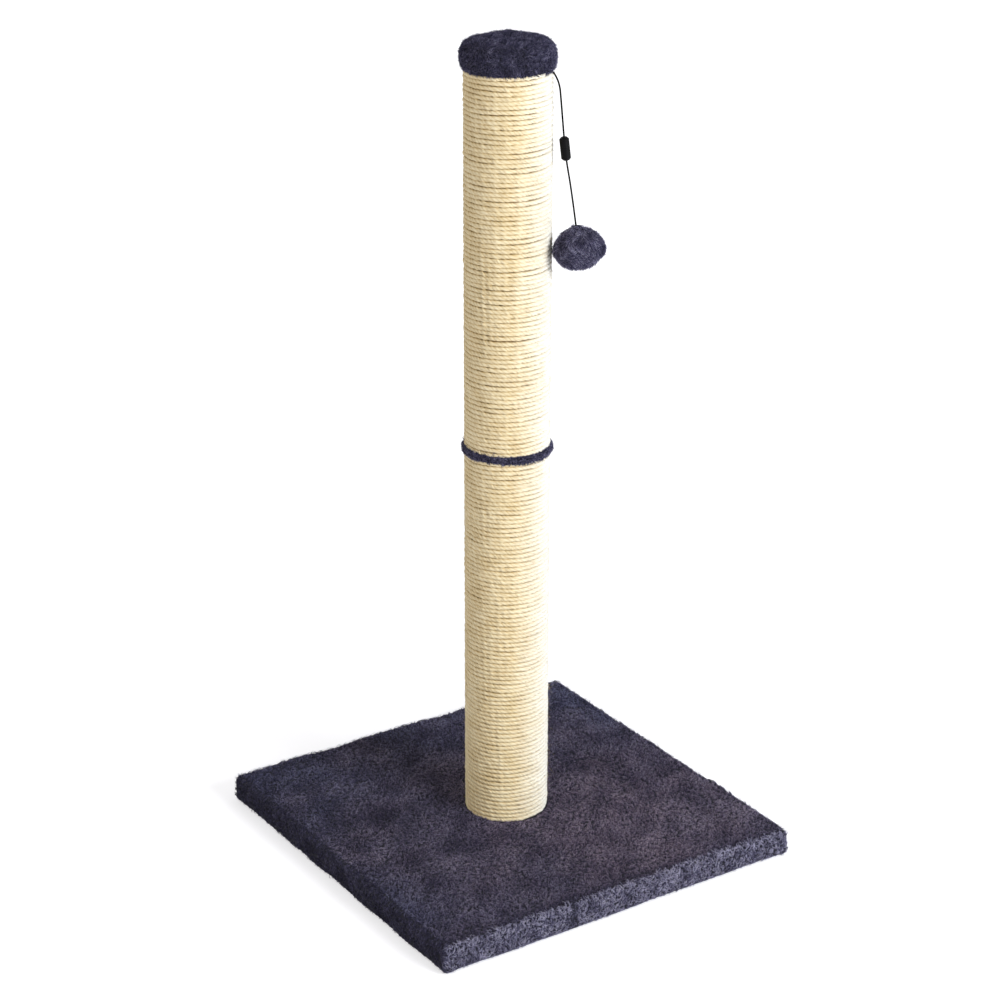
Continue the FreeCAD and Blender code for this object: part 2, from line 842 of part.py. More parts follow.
def make_upper_cord():
    anchor_high = driving("anchor_high").value
    knot = Vector(exit_point.x, 0, lip_level.value + anchor_high)
    anchor_end = exit_point + UP * swing_room
    cord_stretch("toy_cord_anchor", [knot, anchor_end], False, knot, driving("knot_size").value)
    first_bend = toy_point(*UPPER_ROUTE[0])
    exit_way = (first_bend - exit_point).normalize()
    swing_point = (exit_point + first_bend) * 0.5
    cord_stretch("toy_cord_exit", [exit_point, swing_point - exit_way * swing_room])
    knot = connector_top + connector_way * connector_knot_deep
    bends = [toy_point(*bend) for bend in UPPER_ROUTE]
    cord_stretch("toy_cord_upper", [swing_point] + bends + [knot], True, knot, connector_knot_size)
    return swing_point


def connector_place():
    return toy_turn.multiply(Placement(connector_middle, Rotation(Vector(0, 1, 0), -CONNECTOR_TILT)))


def make_connector():
    """Two halves of a barrel: the lower half's stem pushes into the upper half's bore."""
    radius = driving("connector_size") / 2
    half = driving("connector_long") / 2
    chamfer = driving("connector_chamfer")
    stem = driving("stem_size") / 2
    stem_long = driving("stem_long")
    hole = driving("cord_size") / 2 + SEAT_GAP
    knot_room = driving("connector_knot_size") / 2 + SEAT_GAP
    wall = driving("connector_wall")
    socket_points = [
        (stem + SEAT_GAP, 0), (radius, 0), (radius, half - chamfer), (radius - chamfer, half),
        (hole, half), (hole, half - wall), (knot_room, half - wall), (knot_room, stem_long + SEAT_GAP),
        (stem + SEAT_GAP, stem_long + SEAT_GAP),
    ]
    socket = turned_body("toy_connector_socket", socket_points)
    room_top = wall + knot_room * 2 - half
    plug_points = [
        (0, room_top), (knot_room, room_top), (knot_room, wall - half), (hole, wall - half),
        (hole, -half), (radius - chamfer, -half), (radius, chamfer - half), (radius, -SEAT_GAP),
        (stem, -SEAT_GAP), (stem, stem_long), (0, stem_long),
    ]
    plug = turned_body("toy_connector_plug", plug_points)
    for half_body in (socket, plug):
        half_body.Placement = connector_place()
        keep(half_body)


def make_lower_cord():
    knot = connector_end - connector_way * connector_knot_deep
    cord_stretch("toy_cord_tail", [knot, connector_end], False, knot, connector_knot_size)
    bends = [toy_point(*bend) for bend in LOWER_ROUTE]
    route = [fold_point] + bends + [ball_knot]
    cord_stretch("toy_cord_lower", route, True, ball_knot, driving("ball_knot_size").value)


def ellipsoid(name, wide, high):
    shape = doc.addObject("Part::Ellipsoid", name)
    bind(shape, "Radius1", high / 2)
    bind(shape, "Radius2", wide / 2)
    bind(shape, "Radius3", wide / 2)
    return shape


def make_ball():
    """A stuffed plush ball, flatter along the cord, gathered to a small tip where the cord enters."""
    wide, high = driving("ball_wide"), driving("ball_high")
    thick = driving("ball_plush_thick") * 2
    hole_radius = driving("cord_size") / 2 + SOFT_GAP
    knot_level = high / 2 - driving("ball_knot_deep")

    gather = doc.addObject("Part::Cone", "ball_gather")
    bind(gather, "Radius1", driving("gather_size") / 2)
    bind(gather, "Radius2", driving("gather_tip_size") / 2)
    bind(gather, "Height", driving("gather_high") * 2)
    bind(gather, ".Placement.Base.z", high / 2 - driving("gather_high"))
    outside = doc.addObject("Part::Fuse", "ball_outside")
    outside.Base = ellipsoid("ball_round", wide, high)
    outside.Tool = gather

    hole = doc.addObject("Part::Cylinder", "ball_cord_hole")
    bind(hole, "Radius", hole_radius)
    bind(hole, "Height", high)
    bind(hole, ".Placement.Base.z", knot_level)
    room = doc.addObject("Part::Sphere", "ball_knot_room")
    bind(room, "Radius", driving("ball_knot_size") / 2 + SOFT_GAP)
    bind(room, ".Placement.Base.z", knot_level)
    space = doc.addObject("Part::Fuse", "ball_cord_space")
    space.Base = hole
    space.Tool = room

    inside = ellipsoid("ball_inside", wide - thick, high - thick)
    shell = cut("ball_shell", outside, inside)
    plush = cut("toy_ball_plush", shell, space)
    stuffing = cut("toy_ball_stuffing", ellipsoid("ball_core", wide - thick, high - thick), space)
    place = toy_turn.multiply(Placement(ball_centre, Rotation(Vector(0, 1, 0), -BALL_TILT)))
    for piece in (plush, stuffing):
        piece.Placement = place
        keep(piece)


# ---------------------------------------------------------------------------------------------
# Assembly

hem_staples, cap_staples = make_staples()
make_base_board(hem_staples)
make_base_plush(hem_staples)
make_base_lining()
make_base_bolt()
make_base_washer()
make_post(cap_staples)
make_joint_ring()
make_rope("lower", base_high, joint_level - ring_half)
make_rope("upper", joint_level + ring_half, lip_level)
make_cap_padding()
make_cap_plush(cap_staples, make_cord_hole())
swing_point = make_upper_cord()
make_connector()
make_lower_cord()
make_ball()
doc.recompute()

for item in doc.Objects:
    for state in item.State:
        if state in ("Invalid", "Error"):
            raise ValueError(f"{item.Label} is {state}")
for node in nodes:
    if node.Shape.isNull() or not node.Shape.isValid() or not node.Shape.Solids:
        raise ValueError(f"{node.Label} has no valid solid")

for label, point in (
    ("exit hinge", exit_point),
    ("swing hinge", swing_point),
    ("connector middle", connector_middle),
    ("fold hinge", fold_point),
    ("ball centre", ball_centre),
):
    place = toy_turn.multVec(point)
    print(f"{label}: {place.x:.3f}, {place.y:.3f}, {place.z:.3f}")
for label, way in (("connector axis", connector_way), ("ball axis", ball_way)):
    turned = toy_turn.Rotation.multVec(way)
    print(f"{label}: {turned.x:.6f}, {turned.y:.6f}, {turned.z:.6f}")

os.makedirs("parts", exist_ok=True)
for node in nodes:
    node.Shape.exportStep(f"parts/{node.Label}.step")
print(f"{len(nodes)} nodes")
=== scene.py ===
import json
import math

import bpy
import numpy as np
from mathutils import Matrix, Vector


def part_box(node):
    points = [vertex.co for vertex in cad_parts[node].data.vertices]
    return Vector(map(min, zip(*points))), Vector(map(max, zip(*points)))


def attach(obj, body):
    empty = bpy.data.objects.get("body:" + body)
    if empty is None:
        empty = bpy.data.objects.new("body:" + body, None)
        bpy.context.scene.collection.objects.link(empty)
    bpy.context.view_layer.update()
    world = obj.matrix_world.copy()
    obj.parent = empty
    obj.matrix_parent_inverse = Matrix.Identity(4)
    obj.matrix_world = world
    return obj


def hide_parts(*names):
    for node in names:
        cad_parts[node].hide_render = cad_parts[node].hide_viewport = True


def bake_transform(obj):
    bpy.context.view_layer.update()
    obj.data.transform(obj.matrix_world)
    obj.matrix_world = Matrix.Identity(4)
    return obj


# The looks of a cat scratching post: a plush-covered base, a post wound in twisted rope with a plush
# ring over its seam, a padded plush cap, and a plush ball on a cord with a breakaway connector.
# Lengths are in metres. +Z is up and the origin is the middle of the base's underside.

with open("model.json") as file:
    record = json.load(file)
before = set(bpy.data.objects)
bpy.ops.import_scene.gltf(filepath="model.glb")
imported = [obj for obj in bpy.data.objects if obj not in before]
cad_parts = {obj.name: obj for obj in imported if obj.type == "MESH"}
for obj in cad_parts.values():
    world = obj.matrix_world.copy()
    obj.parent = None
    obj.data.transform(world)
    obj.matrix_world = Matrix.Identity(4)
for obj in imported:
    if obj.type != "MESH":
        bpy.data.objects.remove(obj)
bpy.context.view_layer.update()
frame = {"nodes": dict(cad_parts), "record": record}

MM = 0.001
FULL_TURN = 2 * math.pi
UP = np.array([0.0, 0.0, 1.0])


# ---------------------------------------------------------------------------------------------
# Camera, light and stage

CAMERA_PLACE = Vector((-1.3204, -1.9710, 1.3352))
CAMERA_HEADING = math.radians(33.640)
CAMERA_PITCH = math.radians(22.287)
CAMERA_ROLL = math.radians(0.089)
CAMERA_LENS = 94.62
SENSOR = 36.0


def make_camera():
    level = Vector((math.sin(CAMERA_HEADING), math.cos(CAMERA_HEADING), 0))
    forward = level * math.cos(CAMERA_PITCH) - Vector((0, 0, math.sin(CAMERA_PITCH)))
    right = Vector((math.cos(CAMERA_HEADING), -math.sin(CAMERA_HEADING), 0))
    above = right.cross(forward)
    sideways = right * math.cos(CAMERA_ROLL) + above * math.sin(CAMERA_ROLL)
    upright = above * math.cos(CAMERA_ROLL) - right * math.sin(CAMERA_ROLL)
    lens = bpy.data.cameras.new("camera")
    lens.lens = CAMERA_LENS
    lens.sensor_width = SENSOR
    camera = bpy.data.objects.new("camera", lens)
    bpy.context.scene.collection.objects.link(camera)
    turn = Matrix((sideways, upright, -forward)).transposed().to_4x4()
    camera.matrix_world = Matrix.Translation(CAMERA_PLACE) @ turn
    bpy.context.scene.camera = camera


def add_lamp(name, azimuth, elevation, distance, size, power, colour):
    """A square soft lamp that looks at the post's middle from this azimuth and elevation."""
    data = bpy.data.lights.new(name, "AREA")
    data.size = size
    data.energy = power
    data.color = colour
    lamp = bpy.data.objects.new(name, data)
    bpy.context.scene.collection.objects.link(lamp)
    flat = math.cos(math.radians(elevation))
    way = Vector((
        flat * math.cos(math.radians(azimuth)),
        flat * math.sin(math.radians(azimuth)),
        math.sin(math.radians(elevation)),
    ))
    lamp.location = Vector((0, 0, 0.4)) + way * distance
    lamp.rotation_euler = way.to_track_quat("Z", "Y").to_euler()


class Shader:
    """A material's node tree, with short ways to add and join nodes."""

    def __init__(self, tree):
        self.tree = tree

    def add(self, kind, **values):
        node = self.tree.nodes.new(f"ShaderNode{kind}")
        for name, value in values.items():
            setattr(node, name, value)
        return node

    def join(self, output, socket):
        self.tree.links.new(output, socket)

    def noise(self, scale, detail=3.0, roughness=0.5, vector=None):
        node = self.add("TexNoise")
        node.inputs["Scale"].default_value = scale
        node.inputs["Detail"].default_value = detail
        node.inputs["Roughness"].default_value = roughness
        self.join(vector or self.places(), node.inputs["Vector"])
        return node.outputs["Fac"]

    def places(self):
        return self.add("TexCoord").outputs["Object"]

    def attribute(self, name):
        return self.add("Attribute", attribute_name=name).outputs["Fac"]

    def ramp(self, value, stops):
        """Colours over value: stops are (position, colour) pairs."""
        node = self.add("ValToRGB")
        elements = node.color_ramp.elements
        while len(elements) < len(stops):
            elements.new(0.5)
        for element, (position, colour) in zip(elements, stops):
            element.position = position
            element.color = (*colour, 1.0)
        self.join(value, node.inputs["Fac"])
        return node.outputs["Color"]

    def mix(self, share, first, second, blend="MIX"):
        node = self.add("Mix", data_type="RGBA", blend_type=blend)
        for value, socket in ((share, node.inputs[0]), (first, node.inputs[6]), (second, node.inputs[7])):
            if isinstance(value, bpy.types.NodeSocket):
                self.join(value, socket)
            elif isinstance(value, tuple):
                socket.default_value = (*value, 1.0)
            else:
                socket.default_value = value
        return node.outputs[2]

    def sum(self, first, second, operation="ADD"):
        node = self.add("Math", operation=operation)
        for value, socket in ((first, node.inputs[0]), (second, node.inputs[1])):
            if isinstance(value, bpy.types.NodeSocket):
                self.join(value, socket)
            else:
                socket.default_value = value
        return node.outputs[0]

    def bump(self, height, distance, strength=1.0):
        node = self.add("Bump")
        node.inputs["Strength"].default_value = strength
        node.inputs["Distance"].default_value = distance
        self.join(height, node.inputs["Height"])
        return node.outputs["Normal"]


def new_material(name, roughness=0.9, **settings):
    """A material, its node tree and its surface shader, with settings as its sockets' own values."""
    material = bpy.data.materials.new(name)
    material.use_nodes = True
    surface = material.node_tree.nodes["Principled BSDF"]
    surface.inputs["Roughness"].default_value = roughness
    for socket, value in settings.items():
        surface.inputs[socket.replace("_", " ")].default_value = value
    return material, Shader(material.node_tree), surface


def srgb(red, green, blue):
    """The linear colour of one given in the 0 to 255 of a screen."""
    return tuple((value / 255) ** 2.2 for value in (red, green, blue))


def seen_directly(shader):
    """1 on rays from the camera, and on those that glossy or clear surfaces pass on."""
    path = shader.add("LightPath")
    rays = shader.sum(path.outputs["Is Camera Ray"], path.outputs["Is Glossy Ray"])
    rays = shader.sum(rays, path.outputs["Is Transmission Ray"])
    return shader.sum(rays, 1.0, "MINIMUM")


AMBIENT = 0.38
# How strongly the floor shines of itself near the object and far off, and how far off these are.
FLOOR_LIFTS = (0.53, 0.9)
FLOOR_REACHES = (0.4, 1.6)
FLOOR_SIZE = 30.0
FLOOR_DROP = 0.4 * MM


def make_world():
    world = bpy.data.worlds.new("world")
    bpy.context.scene.world = world
    world.use_nodes = True
    shader = Shader(world.node_tree)
    background = world.node_tree.nodes["Background"]
    strength = shader.add("MapRange")
    shader.join(seen_directly(shader), strength.inputs["Value"])
    strength.inputs["To Min"].default_value = AMBIENT
    strength.inputs["To Max"].default_value = 1.0
    shader.join(strength.outputs["Result"], background.inputs["Strength"])
    background.inputs["Color"].default_value = (1.0, 1.0, 1.0, 1.0)


def make_floor():
    """A pale floor that shows white and keeps the object's shadow."""
    material, shader, surface = new_material("floor")
    surface.inputs["Base Color"].default_value = (*srgb(240, 240, 246), 1.0)
    away = shader.add("VectorMath", operation="LENGTH")
    shader.join(shader.places(), away.inputs[0])
    lift = shader.add("MapRange")
    shader.join(away.outputs["Value"], lift.inputs["Value"])
    sockets = ("From Min", "From Max", "To Min", "To Max")
    for socket, value in zip(sockets, FLOOR_REACHES + FLOOR_LIFTS):
        lift.inputs[socket].default_value = value
    shader.join(
        shader.sum(seen_directly(shader), lift.outputs["Result"], "MULTIPLY"),
        surface.inputs["Emission Strength"],
    )
    surface.inputs["Emission Color"].default_value = (1.0, 1.0, 1.0, 1.0)
    half = FLOOR_SIZE / 2
    corners = np.array([(-half, -half), (half, -half), (half, half), (-half, half)])
    points = np.column_stack([corners, np.full(4, -FLOOR_DROP)])
    floor = new_object("floor", points, [np.array([[0, 1, 2, 3]])], material)


# ---------------------------------------------------------------------------------------------
# Meshes


def new_object(name, points, faces, material, maps=None, values=None):
    """An object from points and faces.

    faces are integer arrays, each of faces with as many corners as the array has columns. maps are
    UV maps, with a place for every corner, and values are numbers for every point."""
    mesh = bpy.data.meshes.new(name)
    corners = np.concatenate([part.ravel() for part in faces]).astype(np.int32)
    sizes = np.concatenate([np.full(len(part), part.shape[1]) for part in faces])
    starts = np.concatenate([[0], np.cumsum(sizes)[:-1]]).astype(np.int32)
    mesh.vertices.add(len(points))
    mesh.vertices.foreach_set("co", np.asarray(points, np.float32).ravel())
    mesh.loops.add(len(corners))
    mesh.loops.foreach_set("vertex_index", corners)
    mesh.polygons.add(len(sizes))
    mesh.polygons.foreach_set("loop_start", starts)
    mesh.polygons.foreach_set("use_smooth", np.full(len(sizes), True))
    mesh.update(calc_edges=True)
    for map_name, places in (maps or {}).items():
        layer = mesh.uv_layers.new(name=map_name)
        layer.data.foreach_set("uv", np.asarray(places, np.float32).ravel())
    for value_name, numbers in (values or {}).items():
        layer = mesh.attributes.new(value_name, "FLOAT", "POINT")
        layer.data.foreach_set("value", np.asarray(numbers, np.float32).ravel())
    mesh.materials.append(material)
    item = bpy.data.objects.new(name, mesh)
    bpy.context.scene.collection.objects.link(item)
    return item


def unit(vectors):
    return vectors / np.maximum(np.linalg.norm(vectors, axis=-1, keepdims=True), 1e-12)


def ripple(points, wavelength, seed, waves=14):
    """A smooth random field over space, of about unit size and wavelength."""
    rng = np.random.default_rng(seed)
    ways = unit(rng.normal(size=(waves, 3)))
    lengths = wavelength * rng.uniform(0.7, 1.7, waves)
    phases = rng.uniform(0, FULL_TURN, waves)
    angles = points @ (ways / lengths[:, None]).T * FULL_TURN + phases
    return np.sin(angles).sum(1) * math.sqrt(2 / waves)


def grid_faces(rows, columns, rows_wrap=False):
    """Quads of a grid whose columns close on themselves, and its rows too if they wrap."""
    row = np.arange(rows if rows_wrap else rows - 1)[:, None]
    column = np.arange(columns)[None, :]
    next_row, next_column = (row + 1) % rows, (column + 1) % columns
    corners = [row * columns + column, row * columns + next_column,
               next_row * columns + next_column, next_row * columns + column]
    return np.stack(corners, -1).reshape(-1, 4)


def grid_map(rows, columns):
    """The UV map for baking of a grid whose rows and columns wrap, as an unbroken sheet."""
    row, column = np.meshgrid(np.arange(rows), np.arange(columns), indexing="ij")
    corners = [(column, row), (column + 1, row), (column + 1, row + 1), (column, row + 1)]
    places = np.stack([np.stack(corner, -1) for corner in corners], 2)
    return {"OFBake": (places / np.array([columns, rows])).reshape(-1, 2)}


def point_normals(points, quads):
    a, b, c, d = (points[quads[:, k]] for k in range(4))
    facing = np.cross(c - a, d - b)
    normals = np.zeros_like(points)
    for k in range(4):
        np.add.at(normals, quads[:, k], facing)
    return unit(normals)


def scatter(points, quads, count, seed):
    """Evenly strewn places on the quads, with the surface's normals there."""
    rng = np.random.default_rng(seed)
    normals = point_normals(points, quads)
    triangles = np.concatenate([quads[:, [0, 1, 2]], quads[:, [0, 2, 3]]], 1).reshape(-1, 3)
    a, b, c = (points[triangles[:, k]] for k in range(3))
    reach = np.cumsum(np.linalg.norm(np.cross(b - a, c - a), axis=1))
    picks = (np.arange(count) + rng.random(count)) / count * reach[-1]
    chosen = triangles[np.minimum(np.searchsorted(reach, picks), len(triangles) - 1)]
    u, v = rng.random((2, count))
    u, v = np.where(u + v > 1, 1 - u, u), np.where(u + v > 1, 1 - v, v)
    shares = np.stack([1 - u - v, u, v], 1)[:, :, None]
    return (points[chosen] * shares).sum(1), unit((normals[chosen] * shares).sum(1))


TUFT_SIDES = 3


def new_tufts(name, roots, ways, curls, lengths, widths, material, shades, levels=(0.0, 0.55)):
    """Tufts of pile as closed tapering spikes: each sets out along its way and turns towards its curl.

    A curl's length is the angle in radians that the tuft turns through on its whole length."""
    count, rings = len(roots), len(levels)
    ways = unit(ways)
    aside = unit(curls - ways * (curls * ways).sum(1, keepdims=True))
    turns = np.linalg.norm(curls, axis=1, keepdims=True) + 0.01
    hinges = np.cross(ways, aside)
    lengths, widths = lengths[:, None], widths[:, None]
    points = []
    for level in (*levels, 1.0):
        bent = turns * level
        middle = roots + lengths / turns * (ways * np.sin(bent) + aside * (1 - np.cos(bent)))
        across = aside * np.cos(bent) - ways * np.sin(bent)
        radius = widths / 2 * (1 - 0.7 * level)
        for corner in range(TUFT_SIDES if level < 1.0 else 0):
            angle = FULL_TURN * corner / TUFT_SIDES
            points.append(middle + radius * (across * math.cos(angle) + hinges * math.sin(angle)))
    points.append(middle)
    per_tuft = len(points)
    points = np.stack(points, 1).reshape(-1, 3)

    quads, triangles, quad_places, triangle_places = [], [[2, 1, 0]], [], []
    floor_share = 0.1
    triangle_places.append([(0.1, 0.02), (0.5, 0.08), (0.9, 0.02)])
    heights = [floor_share + (1 - floor_share) * level for level in levels]
    for corner in range(TUFT_SIDES):
        following = (corner + 1) % TUFT_SIDES
        left, right = corner / TUFT_SIDES, (corner + 1) / TUFT_SIDES
        for ring in range(rings - 1):
            low, high = ring * TUFT_SIDES, (ring + 1) * TUFT_SIDES
            quads.append([low + corner, low + following, high + following, high + corner])
            quad_places.append([(left, heights[ring]), (right, heights[ring]),
                                (right, heights[ring + 1]), (left, heights[ring + 1])])
        last = (rings - 1) * TUFT_SIDES
        triangles.append([last + corner, last + following, rings * TUFT_SIDES])
        triangle_places.append([(left, heights[-1]), (right, heights[-1]), ((left + right) / 2, 1.0)])

    firsts = (np.arange(count) * per_tuft)[:, None, None]
    faces = [(firsts + np.array(part)[None]).reshape(-1, len(part[0])) for part in (quads, triangles)]
    across = math.ceil(math.sqrt(count))
    cells = np.stack([np.arange(count) % across, np.arange(count) // across], 1)[:, None, :]
    inset = 0.06
    places = []
    for part in (quad_places, triangle_places):
        inside = inset + np.array(part).reshape(1, -1, 2) * (1 - 2 * inset)
        places.append(((cells + inside) / across).reshape(-1, 2))
    tip = np.repeat([*levels, 1.0], [TUFT_SIDES] * rings + [1])
    values = {
        "tip": np.tile(tip, count),
        "shade": np.repeat(np.clip(shades, 0.0, 1.0), per_tuft),
    }
    return new_object(name, points, faces, material, {"OFBake": np.concatenate(places)}, values)


def lean_field(roots, normals, heading, swirl, wavelength, seed):
    """Ways along the surface that turn about heading by swirl radians from place to place."""
    flat = unit(heading - normals * (normals @ heading)[:, None])
    angle = (ripple(roots, wavelength, seed) * swirl)[:, None]
    return flat * np.cos(angle) + np.cross(normals, flat) * np.sin(angle)


# ---------------------------------------------------------------------------------------------
# Materials


POST_RADIUS = 41.55 * MM
# The level way towards the side of the post where the rope is painted darker and tan, as painted shade
# away from the key lamp.
SHADED_SIDE_WAY = (-0.95, -0.3)
# The spot on the base round which warm light thrown back from the rope is painted,
# and the size of the patches in which the pile's colour changes.
ROPE_GLOW_SPOT = (0.03, -0.09, 0.03)
PATCH_SIZE = 0.07


def plush_material(name, stops, glow_tint, cool):
    """Short pile: painted shade darkens it between the fibres and a painted sheen lightens its tips;
    painted warm light from the rope browns it round the post's foot.
    """
    material, shader, surface = new_material(
        name, 0.85, Sheen_Weight=0.3, Sheen_Roughness=0.45, Specular_IOR_Level=0.15)
    surface.inputs["Sheen Tint"].default_value = (*srgb(170, 170, 200), 1.0)
    # Painted shade and sheen: darker at the fibres' roots, lighter at their tips.
    tip = shader.sum(shader.attribute("tip"), 0.45, "MULTIPLY")
    shade = shader.sum(shader.attribute("shade"), 0.5, "MULTIPLY")
    specks = shader.sum(shader.noise(700.0, 1.0), 0.15, "MULTIPLY")
    colour = shader.ramp(shader.sum(shader.sum(tip, shade), specks), stops)
    # Painted light: browner towards the spot by the post's foot, as warm light from the rope.
    away = shader.add("VectorMath", operation="DISTANCE")
    shader.join(shader.places(), away.inputs[0])
    away.inputs[1].default_value = ROPE_GLOW_SPOT
    near = shader.sum(0.42, shader.sum(away.outputs["Value"], 1.4, "MULTIPLY"), "SUBTRACT")
    patches = shader.sum(near, shader.sum(shader.noise(1 / PATCH_SIZE, 2.0), 0.6, "MULTIPLY"))
    tint = shader.ramp(patches, [(0.2, cool), (0.65, glow_tint)])
    shader.join(shader.mix(1.0, colour, tint, "MULTIPLY"), surface.inputs["Base Color"])
    shader.join(shader.bump(shader.noise(2500.0, 2.0), 0.2 * MM, 0.5), surface.inputs["Normal"])
    return material


def backing_material(name, colour):
    """The knitted ground that the pile grows from, mostly hidden by it."""
    material, shader, surface = new_material(name, 0.95)
    grain = shader.noise(1200.0, 3.0)
    shader.join(shader.ramp(grain, [(0.2, tuple(c * 0.5 for c in colour)), (0.8, colour)]),
                surface.inputs["Base Color"])
    shader.join(shader.bump(grain, 0.5 * MM), surface.inputs["Normal"])
    return material


def rope_material(name, lit_colours, shaded_colours):
    """Twisted plant fibre: pale yarn, painted tan as shade in its furrows, uneven from strand to strand.

    The rope is painted pale on the post's lit side and tan on the side in the key lamp's shade;
    each has its colours from dark to light."""
    material, shader, surface = new_material(name, 0.75, Specular_IOR_Level=0.25)
    yarn = shader.add("UVMap", uv_map="Yarn").outputs["UV"]
    stretch = shader.add("Mapping")
    stretch.inputs["Scale"].default_value = (160.0, 26.0, 1.0)
    shader.join(yarn, stretch.inputs["Vector"])
    fibres = shader.noise(1.0, 4.0, 0.6, stretch.outputs["Vector"])
    # Painted shade: the furrows between strands and between neighbouring turns are coloured darker.
    furrow_shade = shader.attribute("furrow_shade")
    blotches = shader.noise(60.0, 3.0)
    level = shader.sum(shader.sum(fibres, 0.45, "MULTIPLY"), shader.sum(blotches, 0.3, "MULTIPLY"))
    level = shader.sum(level, shader.sum(furrow_shade, 0.4, "MULTIPLY"))
    stops = (0.3, 0.5, 0.8)
    pale, tan = (shader.ramp(level, list(zip(stops, shades))) for shades in (lit_colours, shaded_colours))
    # Painted light and shade: the rope turns from its lit colours to its shaded ones towards the side
    # away from the key lamp.
    around = shader.add("VectorMath", operation="DOT_PRODUCT")
    shader.join(shader.places(), around.inputs[0])
    around.inputs[1].default_value = (*SHADED_SIDE_WAY, 0.0)
    wander = shader.sum(shader.noise(25.0, 2.0), 0.6, "MULTIPLY")
    toward_shade = shader.sum(shader.sum(around.outputs["Value"], 1 / POST_RADIUS, "MULTIPLY"), wander)
    share = shader.ramp(toward_shade, [(0.0, (0.0, 0.0, 0.0)), (1.0, (1.0, 1.0, 1.0))])
    shader.join(shader.mix(share, pale, tan), surface.inputs["Base Color"])
    shader.join(shader.bump(fibres, 0.25 * MM, 0.7), surface.inputs["Normal"])
    return material


def plain_material(name, colour, roughness, grain_scale, grain_depth, contrast=0.25, **settings):
    """A finish whose colour and relief follow one grain."""
    material, shader, surface = new_material(name, roughness, **settings)
    grain = shader.noise(grain_scale, 4.0, 0.6)
    darker = tuple(c * (1 - contrast) for c in colour)
    lighter = tuple(min(1.0, c * (1 + contrast)) for c in colour)
    shader.join(shader.ramp(grain, [(0.3, darker), (0.7, lighter)]), surface.inputs["Base Color"])
    shader.join(shader.bump(grain, grain_depth), surface.inputs["Normal"])
    return material


def wood_material(name, colour):
    """Plywood: long grain with darker growth lines."""
    material, shader, surface = new_material(name, 0.7)
    stretch = shader.add("Mapping")
    stretch.inputs["Scale"].default_value = (12.0, 160.0, 160.0)
    shader.join(shader.places(), stretch.inputs["Vector"])
    grain = shader.noise(1.0, 5.0, 0.6, stretch.outputs["Vector"])
    darker = tuple(c * 0.55 for c in colour)
    shader.join(shader.ramp(grain, [(0.3, darker), (0.6, colour)]), surface.inputs["Base Color"])
    shader.join(shader.bump(grain, 0.2 * MM), surface.inputs["Normal"])
    return material


def chipboard_material(name):
    """Pressed chips: angular flakes in tans and browns."""
    material, shader, surface = new_material(name, 0.85)
    chips = shader.add("TexVoronoi", feature="F1")
    chips.inputs["Scale"].default_value = 260.0
    shader.join(shader.places(), chips.inputs["Vector"])
    stops = [(0.0, srgb(122, 92, 60)), (0.5, srgb(178, 146, 102)), (1.0, srgb(206, 180, 138))]
    shader.join(shader.ramp(chips.outputs["Color"], stops), surface.inputs["Base Color"])
    shader.join(shader.bump(chips.outputs["Distance"], 0.4 * MM), surface.inputs["Normal"])
    return material


# ---------------------------------------------------------------------------------------------
# Cords

LIP_LEVEL = 789.0 * MM
TOY_AZIMUTH = math.radians(-45.0)
CONNECTOR_TILT = math.radians(6.7)
CORD_SIZE = 1.8 * MM
CORD_SIDES = 10
# Points out from the rope's outside and down from the cap's lip, in millimetres.
CONNECTOR_TOP = (10.8, 61.2)
CONNECTOR_LONG = 22.0 * MM
KNOT_DEEP = 3.5 * MM
UPPER_ROUTE = [(0.4, 1.3), (6.1, 9.0), (8.1, 29.2)]
LOWER_BEND = (18.9, 114.0)
FOLD_ROOM = 1.5 * MM


def toy_point(out, down):
    """A point in the toy's own plane, as far out from the rope and down from the lip as given."""
    reach = POST_RADIUS + out * MM
    return Vector((
        reach * math.cos(TOY_AZIMUTH), reach * math.sin(TOY_AZIMUTH), LIP_LEVEL - down * MM))


def smooth_route(name, corners):
    """Points along the smooth curve that has corners as its control points."""
    data = bpy.data.curves.new(name, "CURVE")
    data.dimensions = "3D"
    spline = data.splines.new("NURBS")
    spline.points.add(len(corners) - 1)
    for point, corner in zip(spline.points, corners):
        point.co = (*corner, 1.0)
    spline.order_u = 3
    spline.use_endpoint_u = True
    spline.resolution_u = 24
    item = bpy.data.objects.new(name, data)
    bpy.context.scene.collection.objects.link(item)
    graph = bpy.context.evaluated_depsgraph_get()
    mesh = bpy.data.meshes.new_from_object(item.evaluated_get(graph))
    points = np.array([vertex.co for vertex in mesh.vertices])
    bpy.data.objects.remove(item)
    bpy.data.meshes.remove(mesh)
    return points


def new_tube(name, line, radius, sides, material):
    """A closed round tube along a line of points."""
    ways = unit(np.gradient(line, axis=0))
    across = unit(np.cross(ways, [math.sin(TOY_AZIMUTH), -math.cos(TOY_AZIMUTH), 0.0]))
    other = np.cross(ways, across)
    angles = FULL_TURN * np.arange(sides) / sides
    rings = (line[:, None] + radius * (across[:, None] * np.cos(angles)[None, :, None]
                                       + other[:, None] * np.sin(angles)[None, :, None]))
    points = np.concatenate([rings.reshape(-1, 3), line[[0, -1]]])
    count = len(line)
    corner = np.arange(sides)
    following = (corner + 1) % sides
    last = (count - 1) * sides
    start_fan = np.stack([np.full(sides, count * sides), following, corner], 1)
    end_fan = np.stack([np.full(sides, count * sides + 1), last + corner, last + following], 1)
    faces = [grid_faces(count, sides), np.concatenate([start_fan, end_fan])]
    return new_object(name, points, faces, material)


def length_of(line):
    return float(np.linalg.norm(np.diff(line, axis=0), axis=1).sum())


